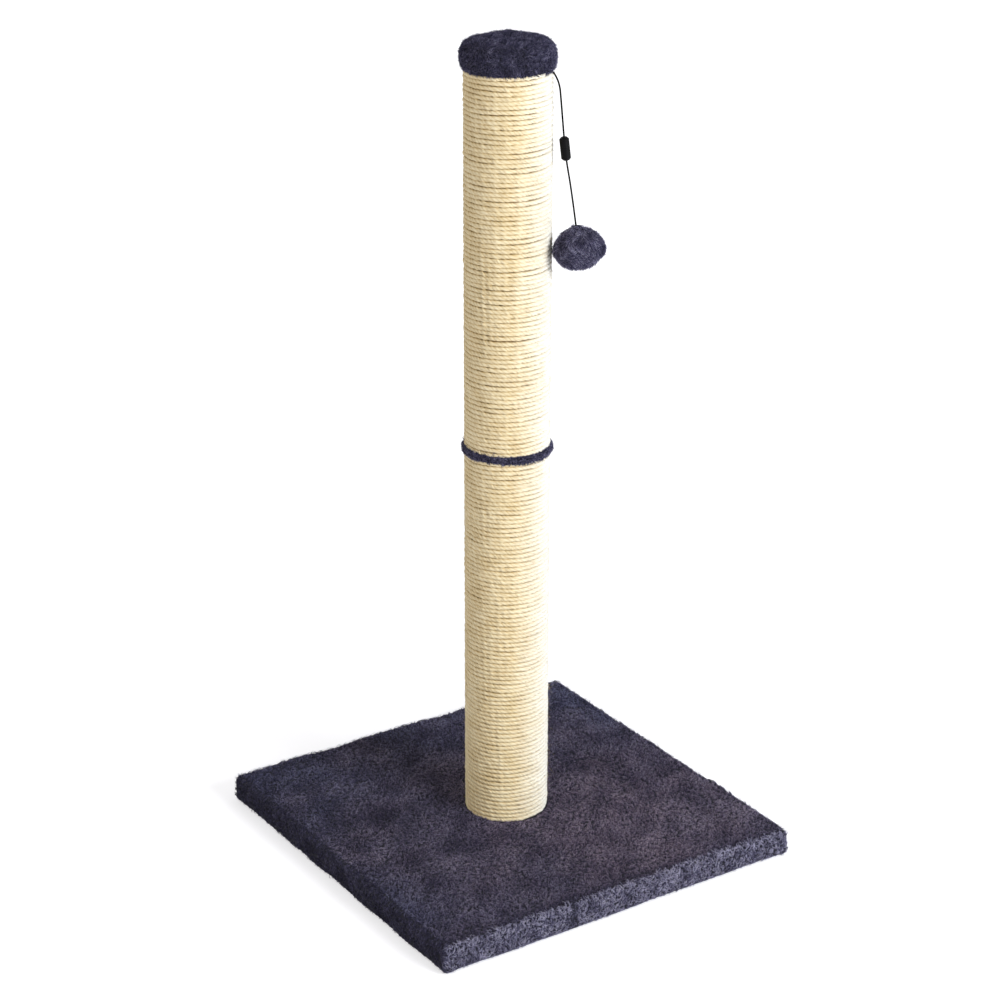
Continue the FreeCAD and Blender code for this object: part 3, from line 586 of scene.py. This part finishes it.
def make_cords(material):
    way = Vector((
        math.sin(CONNECTOR_TILT) * math.cos(TOY_AZIMUTH),
        math.sin(CONNECTOR_TILT) * math.sin(TOY_AZIMUTH),
        -math.cos(CONNECTOR_TILT),
    ))
    top = toy_point(*CONNECTOR_TOP)
    upper_corners = [toy_point(*corner) for corner in UPPER_ROUTE] + [top + way * KNOT_DEEP]
    upper = smooth_route("upper_route", upper_corners)
    upper_cord = new_tube("toy_upper_cord", upper, CORD_SIZE / 2, CORD_SIDES, material)
    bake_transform(upper_cord)
    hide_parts("toy_cord_exit", "toy_cord_upper")
    length_of(upper)

    end = top + way * CONNECTOR_LONG
    fold = end + way * FOLD_ROOM
    lower_corners = [end - way * KNOT_DEEP, fold, toy_point(*LOWER_BEND), ball_knot()]
    lower = smooth_route("lower_route", lower_corners)
    lower_cord = new_tube("toy_lower_cord", lower, CORD_SIZE / 2, CORD_SIDES, material)
    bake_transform(lower_cord)
    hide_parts("toy_cord_tail", "toy_cord_lower")
    length_of(lower)


# ---------------------------------------------------------------------------------------------
# Ball

BALL_TILT = math.radians(8.0)
BALL_WIDE = 52.0 * MM
BALL_HIGH = 42.0 * MM
BALL_DOWN = 167.0
BALL_SOFT_GAP = 0.3 * MM
BALL_KNOT_DEEP = 8.0 * MM
BALL_PILE = 5.0 * MM


def ball_axis():
    """The ball's own way down, along which its cord pulls up."""
    return Vector((
        math.sin(BALL_TILT) * math.cos(TOY_AZIMUTH),
        math.sin(BALL_TILT) * math.sin(TOY_AZIMUTH),
        -math.cos(BALL_TILT),
    ))


def ball_centre():
    support = math.hypot(BALL_WIDE / 2 * math.cos(BALL_TILT), BALL_HIGH / 2 * math.sin(BALL_TILT))
    return toy_point((support + BALL_SOFT_GAP) / MM, BALL_DOWN)


def ball_knot():
    return ball_centre() - ball_axis() * (BALL_HIGH / 2 - BALL_KNOT_DEEP)


def turned_grid(profile, columns):
    """Points of a surface turned about Z from (radius, height) pairs."""
    angles = FULL_TURN * np.arange(columns) / columns
    radius, height = profile[:, 0][:, None], profile[:, 1][:, None]
    return np.stack([radius * np.cos(angles), radius * np.sin(angles), height + 0 * angles], -1)


def make_ball(pile, backing):
    rows, columns = 49, 72
    angle = np.linspace(0.02, math.pi - 0.02, rows)
    inset = BALL_PILE * 0.6
    gather = 2.0 * MM * np.exp(-(angle / 0.22) ** 2)
    profile = np.stack([
        (BALL_WIDE / 2 - inset) * np.sin(angle),
        -(BALL_HIGH / 2 - inset) * np.cos(angle) - gather,
    ], 1)
    local = turned_grid(profile, columns).reshape(-1, 3)
    local *= 1 + 0.025 * ripple(local, 22 * MM, 31)[:, None]
    down = np.array(ball_axis())
    outward = unit(np.cross(np.cross(down, [math.cos(TOY_AZIMUTH), math.sin(TOY_AZIMUTH), 0.0]), down))
    frame_axes = np.stack([outward, np.cross(down, outward), down])
    points = local @ frame_axes + np.array(ball_centre())
    quads = grid_faces(rows, columns)
    poles = points.reshape(rows, columns, 3)[[0, -1]].mean(1)
    corner = np.arange(columns)
    following = (corner + 1) % columns
    first = np.stack([np.full(columns, len(points)), following, corner], 1)
    last_row = (rows - 1) * columns
    last = np.stack([np.full(columns, len(points) + 1), last_row + corner, last_row + following], 1)
    faces = [quads, np.concatenate([first, last])]
    body = new_object("toy_ball", np.concatenate([points, poles]), faces, backing)
    roots, normals = scatter(points, quads, 12000, 41)
    rng = np.random.default_rng(42)
    count = len(roots)
    lean = lean_field(roots, normals, down, 1.0, 30 * MM, 43)
    curl = lean_field(roots, normals, down, 1.6, 20 * MM, 44)
    seam_way = unit(outward * 0.75 + frame_axes[1] * 0.5 - down * 0.45)
    from_seam = np.abs((roots - np.array(ball_centre())) @ seam_way - 13 * MM)
    ridge = np.exp(-((from_seam - 2.0 * MM) / (1.2 * MM)) ** 2)
    ways = normals * rng.uniform(0.3, 0.6, (count, 1)) + lean * 0.9 + rng.normal(0, 0.2, (count, 3))
    short = 0.35 + 0.65 * np.minimum(from_seam / (2 * MM), 1)
    lengths = BALL_PILE * rng.uniform(0.8, 1.25, count) * short
    # Painted highlight: the pile beside the seam is painted lighter, as light caught by the seam's ridge.
    shades = rng.random(count) * 1.1 + 0.12 * ripple(roots, 9 * MM, 46) + 0.35 * ridge
    curls = curl * 0.8 - normals * 0.6 + rng.normal(0, 0.4, (count, 3))
    fur = new_tufts("toy_ball_pile", roots, ways, curls, lengths, rng.uniform(0.3, 0.65, count) * MM,
                    pile, shades, (0.0, 0.35, 0.7))
    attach(body, "toy_ball")
    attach(fur, "toy_ball")
    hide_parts("toy_ball_plush", "toy_ball_stuffing")


# ---------------------------------------------------------------------------------------------
# Rope

ROPE_LINE_RADIUS = 39.55 * MM
ROPE_RADIUS = 2.36 * MM
ROPE_CAD_RADIUS = 2.0 * MM
ROPE_END_AZIMUTH = math.radians(110.0)
WINDINGS = 4
LOOPS = {"lower": 21, "upper": 20}
# Turns that each section runs on at its top; the upper one stops short of the toy's cord.
RUN_ON = {"lower": 1.0, "upper": 0.5}
STATIONS_PER_TURN = 240
STRANDS = 3
STRAND_POINTS = 5
# So long that neighbouring turns show their strands half a strand apart.
LAY = 14.76 * MM
FURROW = 0.13
# How square the turns are pressed against each other and the tube, where 2 is round.
PRESS = 2.6


def rope_line(turns, first_level, pitch, seed):
    """The rope's middle line at so many turns from its lower end, a little uneven as wound by hand."""
    angle = ROPE_END_AZIMUTH + FULL_TURN * turns
    around = np.stack([np.cos(angle), np.sin(angle), turns * 0.35], 1)
    level = first_level + pitch * turns + 0.3 * MM * ripple(around, 1.1, seed)
    radius = ROPE_LINE_RADIUS + 0.12 * MM * ripple(around, 0.5, seed + 1)
    return np.stack([radius * np.cos(angle), radius * np.sin(angle), level], 1), angle


def make_winding(section, number, first_level, pitch, material):
    """One winding: three strands laid round each other, as a closed tube with furrows between them.

    The section's first and last windings run on, out of sight under the plush."""
    first_turn = (number - 1) * LOOPS[section] - (number == 1)
    last_turn = number * LOOPS[section] + (RUN_ON[section] if number == WINDINGS else 0)
    stations = round((last_turn - first_turn) * STATIONS_PER_TURN) + 1
    loops = math.ceil(last_turn - first_turn)
    turns = first_turn + np.arange(stations) / STATIONS_PER_TURN
    line, angle = rope_line(turns, first_level, pitch, 71 if section == "lower" else 75)
    out = np.stack([np.cos(angle), np.sin(angle), 0 * angle], 1)
    along = FULL_TURN * ROPE_LINE_RADIUS * turns
    count = STRANDS * STRAND_POINTS
    spread = FULL_TURN * np.arange(count) / count
    in_strand = np.abs((np.arange(count) / STRAND_POINTS + 0.5) % 1.0 - 0.5) * 2
    height = in_strand ** 0.7
    twist = along / LAY + 0.09 * ripple(line * [1, 1, 4], 16 * MM, 78)
    turn = spread[None] - FULL_TURN * twist[:, None]
    strand = np.arange(count) // STRAND_POINTS
    swells = [1 + 0.07 * ripple(line + [0, 0, shift * MM], 8 * MM, 79) for shift in (0, 30, 60)]
    swell = np.stack(swells, 1)[:, strand]
    pressed = (np.abs(np.cos(turn)) ** PRESS + np.abs(np.sin(turn)) ** PRESS) ** (-1 / PRESS)
    radius = ROPE_RADIUS * (1 - FURROW * (1 - height))[None] * swell * pressed
    points = (line[:, None] + radius[..., None] * (
        out[:, None] * np.cos(turn)[..., None] + UP * np.sin(turn)[..., None]))
    quads = grid_faces(stations, count)[:, ::-1]
    total = stations * count
    corner = np.arange(count)
    following = (corner + 1) % count
    last = total - count
    first_fan = np.stack([np.full(count, total), corner, following], 1)
    last_fan = np.stack([np.full(count, total + 1), last + following, last + corner], 1)
    fans = np.concatenate([first_fan, last_fan])
    row, column = np.meshgrid(np.arange(stations - 1), np.arange(count), indexing="ij")
    yarn, bake = [], []
    for ahead, beside in ((0, 0), (0, 1), (1, 1), (1, 0)):
        station = row + ahead
        yarn.append(np.stack([along[station], (column + beside) / count], -1))
        lap, within = row // STATIONS_PER_TURN, row % STATIONS_PER_TURN + ahead
        high = (lap + (column + beside) / count) / loops
        bake.append(np.stack([within / STATIONS_PER_TURN, high], -1))
    fan_places = np.zeros((fans.size, 2))
    maps = {
        "Yarn": np.concatenate([np.stack(yarn, 2)[:, :, ::-1].reshape(-1, 2), fan_places]),
        "OFBake": np.concatenate([np.stack(bake, 2)[:, :, ::-1].reshape(-1, 2), fan_places]),
    }
    points = np.concatenate([points.reshape(-1, 3), line[[0, -1]]])
    # Painted shade: 1 where the rope is open to light, less in its furrows and where neighbouring turns
    # meet.
    unshaded = 0.4 * height + 0.6 * (1 - np.abs(np.sin(turn)) ** 6)
    values = {"furrow_shade": np.concatenate([unshaded.reshape(-1), [1.0, 1.0]])}
    rope = new_object(f"post_rope_{section}_{number}", points, [quads, fans], material, maps, values)
    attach(rope, "stand")
    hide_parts(f"rope_{section}_{number}")


def make_rope(section, material, stray):
    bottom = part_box(f"rope_{section}_1")[0].z + ROPE_CAD_RADIUS
    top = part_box(f"rope_{section}_{WINDINGS}")[1].z - ROPE_CAD_RADIUS
    pitch = (top - bottom) / (WINDINGS * LOOPS[section])
    for number in range(1, WINDINGS + 1):
        make_winding(section, number, bottom, pitch, material)
    rng = np.random.default_rng(83 if section == "lower" else 84)
    count = 6000
    turns = rng.uniform(0, WINDINGS * LOOPS[section], count)
    line, angle = rope_line(turns, bottom, pitch, 71 if section == "lower" else 75)
    out = np.stack([np.cos(angle), np.sin(angle), 0 * angle], 1)
    tangent = np.stack([-np.sin(angle), np.cos(angle), 0 * angle], 1)
    roots = line + out * ROPE_RADIUS * 0.8
    ways = tangent * rng.choice([-1.0, 1.0], count)[:, None] + out * rng.uniform(0.05, 0.5, (count, 1))
    ways[:, 2] += rng.normal(0, 0.35, count)
    lengths, widths = rng.gamma(3.0, 1.5, count) * MM, np.full(count, 0.16 * MM)
    curls = out * 0.3 + UP * rng.normal(0, 0.5, (count, 1))
    hairs = new_tufts(f"post_rope_hairs_{section}", roots, ways, curls, lengths, widths, stray,
                      rng.random(count))
    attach(hairs, "stand")


# ---------------------------------------------------------------------------------------------
# Plush ring and cap

RING_PILE = 3.0 * MM
CAP_PILE = 3.6 * MM


def arc(start, end, bulge, count):
    """Points from start to end, bowed to the right of the way by bulge, without the end."""
    start, end = np.array(start), np.array(end)
    share = np.arange(count)[:, None] / count
    along = end - start
    side = np.array([along[1], -along[0]]) / np.linalg.norm(along)
    return start + along * share + side * bulge * 4 * share * (1 - share)


def make_ring(pile, backing):
    low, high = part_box("joint_ring")
    reach, middle, half = high.x, (low.z + high.z) / 2, (high.z - low.z) / 2
    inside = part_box("lower_tube")[1].x
    edge = reach - RING_PILE * 0.75
    profile = np.concatenate([
        arc((inside, middle - half * 0.9), (edge - 1.5 * MM, middle - half * 0.8), 0.3 * MM, 5),
        arc((edge - 1.5 * MM, middle - half * 0.8), (edge - 1.5 * MM, middle + half * 0.6), 1.5 * MM, 12),
        arc((edge - 1.5 * MM, middle + half * 0.6), (inside, middle + half * 0.7), 0.3 * MM, 5),
        arc((inside, middle + half * 0.7), (inside, middle - half * 0.9), 0.0, 4),
    ])
    columns = 240
    grid = turned_grid(profile, columns)
    grid[..., 2] += 0.5 * MM * ripple(unit(grid[0]) * 0.3, 0.12, 51)[None]
    points = grid.reshape(-1, 3)
    quads = grid_faces(len(profile), columns, rows_wrap=True)
    band = new_object("seam_ring", points, [quads], backing, grid_map(len(profile), columns))
    outer_rows = 22
    roots, normals = scatter(points, quads[: outer_rows * columns], 9000, 52)
    rng = np.random.default_rng(53)
    around = unit(np.cross(UP, roots * [1, 1, 0]))
    lean = around * ripple(roots, 18 * MM, 54)[:, None] - UP * 0.2
    count = len(roots)
    upright = UP * rng.normal(0, 0.35, (count, 1))
    ways = normals * rng.uniform(0.3, 0.8, (count, 1)) + lean * 0.7 + upright
    lengths = RING_PILE * rng.uniform(0.7, 1.3, count)
    stray = rng.random(count) < 0.015
    lengths[stray] *= 2.0
    ways[stray] += 2.5 * upright[stray]
    curls = lean_field(roots, normals, UP, 3.0, 7 * MM, 56) - normals * 0.4
    fur = new_tufts("seam_ring_pile", roots, ways, curls, lengths, rng.uniform(0.45, 0.9, count) * MM,
                    pile, rng.random(count))
    for piece in (band, fur):
        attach(piece, "stand")
    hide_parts("joint_ring")


def make_cap(pile, backing):
    low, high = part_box("cap_plush")
    lip, crown, reach = low.z, high.z, high.x
    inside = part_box("upper_tube")[1].x
    inset = CAP_PILE * 0.65
    lip_reach, shoulder, shoulder_level = 44.0 * MM, 35.0 * MM, lip + 28.2 * MM
    bulge_level = lip + 13.0 * MM
    profile = np.concatenate([
        arc((inside, lip + 1 * MM), (lip_reach - inset, lip + inset * 0.6), 0.3 * MM, 5),
        arc((lip_reach - inset, lip + inset * 0.6), (reach - inset, bulge_level), 0.7 * MM, 8),
        arc((reach - inset, bulge_level), (shoulder, shoulder_level - inset), 3.0 * MM, 14),
        arc((shoulder, shoulder_level - inset), (0.4 * MM, crown - inset - 1 * MM), 1.6 * MM, 22),
        np.array([[0.4 * MM, crown - inset - 1 * MM], [0.4 * MM, crown - inset - 2.5 * MM]]),
        arc((4 * MM, crown - 9 * MM), (inside, crown - 12 * MM), 0.0, 6),
        arc((inside, crown - 12 * MM), (inside, lip + 1 * MM), 0.0, 4),
    ])
    columns = 200
    grid = turned_grid(profile, columns)
    points = grid.reshape(-1, 3)
    outer_rows = 49
    bumps = np.zeros(len(profile))
    bumps[5:outer_rows] = 1.0
    swell = (bumps[:, None] * ripple(points, 30 * MM, 61).reshape(len(profile), columns)).reshape(-1)
    quads = grid_faces(len(profile), columns, rows_wrap=True)
    points = points + point_normals(points, quads) * swell[:, None] * 0.35 * MM
    cover = new_object("cap_cover", points, [quads], backing, grid_map(len(profile), columns))
    roots, normals = scatter(points, quads[: outer_rows * columns], 19000, 62)
    rng = np.random.default_rng(63)
    count = len(roots)
    lean = lean_field(roots, normals, np.array([0.3, -0.4, -0.8]), 1.2, 40 * MM, 64)
    scattered = rng.normal(0, 0.25, (count, 3))
    ways = normals * rng.uniform(0.35, 0.8, (count, 1)) + lean * 0.7 + scattered
    curl = lean_field(roots, normals, UP, 2.0, 14 * MM, 65)
    lengths = CAP_PILE * rng.uniform(0.75, 1.25, count)
    shades = rng.random(count) * 0.9 + 0.08 * ripple(roots, 14 * MM, 67)
    fur = new_tufts("cap_pile", roots, ways, curl * 0.9 - normals * 0.5 + scattered, lengths,
                    rng.uniform(0.4, 0.75, count) * MM, pile, shades)
    for piece in (cover, fur):
        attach(piece, "stand")
    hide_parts("cap_plush", "cap_padding", "toy_cord_anchor")


# ---------------------------------------------------------------------------------------------
# Base

BASE_CORNER = 6.0 * MM
BASE_EDGE = 6.5 * MM
BASE_PILE = 3.8 * MM
HEM_WIDTH = 36.0 * MM
HEM_THICK = 2.0 * MM
COVER_THICK = 6.0 * MM
BOLT_HOLE = 4.5 * MM
ARC_POINTS = 12
SIDE_POINTS = 70


def rounded_square(half, corner):
    """Points round a square with rounded corners, as many for every size."""
    points = []
    for quarter in range(4):
        start = quarter * math.pi / 2
        turn = np.array([[math.cos(start), -math.sin(start)], [math.sin(start), math.cos(start)]])
        near = half - corner
        angle = np.linspace(0, math.pi / 2, ARC_POINTS)
        bend = np.stack([near + corner * np.cos(angle), near + corner * np.sin(angle)], 1)
        share = (np.arange(SIDE_POINTS) + 1) / (SIDE_POINTS + 1)
        side = np.stack([near - 2 * near * share, np.full(SIDE_POINTS, half)], 1)
        points.append(np.concatenate([bend, side]) @ turn.T)
    return np.concatenate(points)


def make_base(pile, side_piles, backing, lining):
    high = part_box("base_plush")[1]
    half, top = high.x, high.z
    depth = BASE_PILE * 0.5
    bottom = 0.5 * MM

    def ring(inset, level):
        corner = max(BASE_CORNER - inset, 0.5 * MM)
        flat = rounded_square(half - inset, corner)
        return np.column_stack([flat, np.full(len(flat), level)])

    rings = [ring(HEM_WIDTH, HEM_THICK), ring(HEM_WIDTH, bottom)]
    rings += [ring(inset, bottom) for inset in np.linspace(HEM_WIDTH, BASE_EDGE, 8)[1:-1]]
    edge = BASE_EDGE - depth
    for angle in np.linspace(0, math.pi / 2, 7):
        rings.append(ring(BASE_EDGE - edge * math.sin(angle), bottom + edge * (1 - math.cos(angle))))
    for level in np.linspace(bottom + edge, top - BASE_EDGE, 8)[1:-1]:
        rings.append(ring(depth, level))
    for angle in np.linspace(0, math.pi / 2, 7):
        rings.append(ring(BASE_EDGE - edge * math.cos(angle), top - BASE_EDGE + edge * math.sin(angle)))
    first_top = len(rings) - 1
    square = rings[-1]
    level = top - depth
    bearing = np.arctan2(square[:, 1], square[:, 0])
    circle = np.column_stack([BOLT_HOLE * np.cos(bearing), BOLT_HOLE * np.sin(bearing),
                              np.full(len(square), level)])
    top_rings = 40
    for share in np.linspace(0, 1, top_rings)[1:]:
        rings.append(square + (circle - square) * share)
    outer_rows = len(rings) - 1
    inner_edge = ring(COVER_THICK, top - COVER_THICK)
    inner_circle = circle - [0, 0, COVER_THICK - depth]
    for share in np.linspace(0, 1, 6):
        rings.append(inner_circle + (inner_edge - inner_circle) * share)
    rings.append(ring(COVER_THICK, HEM_THICK))
    grid = np.stack(rings)
    rows, columns = grid.shape[:2]
    points = grid.reshape(-1, 3)
    quads = grid_faces(rows, columns, rows_wrap=True)
    normals = point_normals(points, quads)
    moving = np.zeros((rows, columns))
    moving[9:outer_rows - 8] = 1.0
    swell = moving.reshape(-1) * ripple(points, 45 * MM, 91) * 0.5 * MM
    points = points + normals * swell[:, None]
    cover = new_object("base_cover", points, [quads], backing, grid_map(rows, columns))
    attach(cover, "stand")
    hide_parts("base_plush")

    row_of = quads.min(1) // columns
    top_quads = quads[(row_of >= first_top) & (row_of < outer_rows)]
    side_quads = quads[(row_of >= 7) & (row_of < first_top)]
    make_top_pile(points, top_quads, pile)
    make_side_pile(points, side_quads, side_piles)
    make_lining(half, lining)


FOOT_ROOM = 1.0 * MM
TOP_SECTORS = 8
# Painted light: how much paler the top's pile is painted per metre along X and Y towards the lit side,
# and the Y where it is dark by the edge.
LIT_SIDE_WAY = (0.5, -0.33, 0.0)
FRONT_EDGE = -199 * MM
# How much the shades of each side's pile differ, with their least, painted paler on the lit -Y side
# and darker on the shaded -X side, and the X of the cover's join.
SIDE_LIGHT_SHADES = [(0.8, 0.2), (0.8, 0.2), (0.55, 0.1), (0.9, 0.25)]
JOIN_PLACE = -58 * MM


def make_top_pile(points, quads, pile):
    """The pile on the base's top, in sectors, with the nap lying otherwise from place to place."""
    roots, normals = scatter(points, quads, 110000, 101)
    rng = np.random.default_rng(102)
    reach = np.hypot(roots[:, 0], roots[:, 1])
    clear = reach > POST_RADIUS + FOOT_ROOM
    roots, normals, reach = roots[clear], normals[clear], reach[clear]
    lean = lean_field(roots, normals, np.array([0.8, -0.6, 0.0]), 1.5, 70 * MM, 103)
    curl = lean_field(roots, normals, np.array([0.8, -0.6, 0.0]), 3.0, 9 * MM, 104)
    count = len(roots)
    ways = normals * rng.uniform(0.5, 1.1, (count, 1)) + lean * 0.7 + curl * 0.35
    lengths = BASE_PILE * rng.uniform(0.7, 1.3, count)
    widths = rng.uniform(0.45, 0.85, count) * MM
    curls = curl * 1.2 - normals * 0.3
    front_edge = np.exp(-((roots[:, 1] - FRONT_EDGE) / (7 * MM)) ** 2)
    patches = 0.14 * ripple(roots, 34 * MM, 105)
    # Painted light: the pile is painted paler towards the side that the key lamp lights.
    shades = rng.random(count) + 0.05 + roots @ LIT_SIDE_WAY + patches - 0.45 * front_edge
    bearing = np.arctan2(roots[:, 1], roots[:, 0])
    sector = np.floor((bearing / FULL_TURN + 0.5) * TOP_SECTORS).astype(int) % TOP_SECTORS
    for number in range(TOP_SECTORS):
        mine = sector == number
        fur = new_tufts(f"base_top_pile_{number + 1}", roots[mine], ways[mine], curls[mine],
                        lengths[mine], widths[mine], pile, shades[mine])
        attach(fur, "stand")


def make_side_pile(points, quads, piles):
    """The longer, curlier side pile, from +X round to -Y, painted pale on -Y as lit and dark on -X as
    shade.
    """
    roots, normals = scatter(points, quads, 34000, 111)
    rng = np.random.default_rng(112)
    count = len(roots)
    lean = lean_field(roots, normals, -UP, 1.0, 26 * MM, 113)
    curl = lean_field(roots, normals, UP, 3.2, 8 * MM, 114)
    ways = normals * rng.uniform(0.3, 0.8, (count, 1)) + lean * 0.45 + curl * 0.7
    lengths = BASE_PILE * rng.uniform(1.0, 2.1, count)
    lengths = np.minimum(lengths, np.maximum(roots[:, 2], 0.8 * MM) * 1.6)
    widths = rng.uniform(0.5, 0.95, count) * MM
    curls = curl * 1.8 - normals * 0.8
    bearing = np.arctan2(roots[:, 1], roots[:, 0])
    side = np.floor((bearing / FULL_TURN + 0.125) * 4).astype(int) % 4
    # Painted light and shade: each side's pile shades follow how the key lamp falls on that side.
    share, least = np.array(SIDE_LIGHT_SHADES)[side].T
    join = np.exp(-((roots[:, 0] - JOIN_PLACE) / (2.5 * MM)) ** 2) * (side == 3)
    shades = rng.random(count) * share + least + 0.12 * ripple(roots, 18 * MM, 115) - 1.5 * join
    lengths *= 1 - 0.7 * join
    for number in range(4):
        mine = side == number
        fur = new_tufts(f"base_side_pile_{number + 1}", roots[mine], ways[mine], curls[mine],
                        lengths[mine], widths[mine], piles[number], shades[mine])
        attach(fur, "stand")


LINING_ROOM = 0.3 * MM
LINING_THICK = 0.5 * MM


def make_lining(half, material):
    """The thin cloth under the board, with the hole that the bolt is reached through."""
    side = half - HEM_WIDTH - LINING_ROOM
    square = rounded_square(side, 3.7 * MM)
    bearing = np.arctan2(square[:, 1], square[:, 0])
    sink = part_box("base_washer")[1].x * 1.25
    circle = np.column_stack([sink * np.cos(bearing), sink * np.sin(bearing)])
    levels = [(HEM_THICK - 0.1 * MM), (HEM_THICK - 0.1 * MM - LINING_THICK)]
    rings = []
    for level, shares in ((levels[0], np.linspace(0, 1, 24)), (levels[1], np.linspace(1, 0, 24))):
        for share in shares:
            flat = square + (circle - square) * share
            sag = 0.15 * MM * ripple(np.column_stack([flat, 0 * bearing]), 40 * MM, 121)
            rings.append(np.column_stack([flat, level - np.abs(sag)]))
    grid = np.stack(rings)
    points = grid.reshape(-1, 3)
    quads = grid_faces(len(rings), grid.shape[1], rows_wrap=True)
    cloth = new_object("base_lining_cloth", points, [quads], material, grid_map(*grid.shape[:2]))
    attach(cloth, "stand")
    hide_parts("base_lining")


# ---------------------------------------------------------------------------------------------
# Finishes of the pieces that stay as modelled


def finish_nodes():
    cardboard = plain_material("cardboard", srgb(176, 140, 98), 0.85, 180.0, 0.1 * MM)
    wood = wood_material("plug_wood", srgb(208, 176, 128))
    board = chipboard_material("chipboard")
    zinc = plain_material("zinc_steel", srgb(196, 198, 200), 0.32, 900.0, 0.01 * MM, 0.08, Metallic=1.0)
    plastic = plain_material("black_plastic", srgb(6, 6, 9), 0.5, 1500.0, 0.02 * MM, 0.2,
                             Specular_IOR_Level=0.1)
    finishes = {
        "tube_card": cardboard, "plug_wood": wood, "chipboard": board, "steel": zinc,
        "connector": plastic,
    }
    slots = {row["node"]: row["material_slot"] for row in frame["record"]["subparts"]}
    for name, node in frame["nodes"].items():
        finish = finishes.get(slots[name])
        if finish is None:
            continue
        node.data.materials.clear()
        node.data.materials.append(finish)


# ---------------------------------------------------------------------------------------------
# The scene

bpy.context.scene.view_settings.view_transform = "Standard"
make_camera()
make_world()
add_lamp("key", -74.0, 20.0, 3.0, 1.2, 72.0, (0.96, 0.98, 1.0))
add_lamp("fill", -165.0, 22.0, 3.0, 2.0, 20.0, (1.0, 0.93, 0.83))
make_floor()

make_cords(plain_material("cord_black", srgb(7, 7, 9), 0.8, 2500.0, 0.05 * MM, Specular_IOR_Level=0.1))

short_pile = [(0.1, srgb(20, 20, 32)), (0.45, srgb(80, 78, 104)), (0.8, srgb(150, 147, 174)),
              (1.0, srgb(214, 212, 232))]
long_pile = [(0.15, srgb(8, 8, 17)), (0.5, srgb(52, 50, 74)), (0.8, srgb(118, 115, 143)),
             (1.0, srgb(222, 220, 240))]
# Pile painted pale, as lit by the key lamp, for the base's -Y side.
lit_side_pile = [(0.1, srgb(26, 26, 40)), (0.45, srgb(92, 90, 116)), (0.8, srgb(182, 180, 206)),
               (1.0, srgb(236, 235, 246))]
plush = plush_material("plush", short_pile, (1.0, 0.84, 0.80), (0.60, 0.65, 0.76))
curly = plush_material("plush_curly", long_pile, (1.0, 0.95, 1.0), (0.95, 0.95, 1.0))
lit_side_plush = plush_material("plush_lit_side", lit_side_pile, (1.0, 0.98, 1.0), (0.95, 0.96, 1.0))
ground = backing_material("plush_ground", srgb(30, 29, 43))
# The rope's colours from dark to light, first where it is painted as lit, then where it is painted as in
# shade.
sisal = rope_material(
    "rope",
    (srgb(226, 206, 168), srgb(250, 244, 228), srgb(253, 251, 243)),
    (srgb(88, 60, 30), srgb(212, 186, 134), srgb(248, 234, 198)),
)
stray = plain_material("rope_hair", srgb(214, 192, 142), 0.7, 400.0, 0.02 * MM)
cloth = plain_material("lining_cloth", srgb(52, 52, 56), 0.95, 1400.0, 0.1 * MM)

make_ball(curly, ground)
for section in ("lower", "upper"):
    make_rope(section, sisal, stray)
make_ring(curly, ground)
make_cap(curly, ground)
make_base(plush, [curly, curly, curly, lit_side_plush], ground, cloth)
finish_nodes()
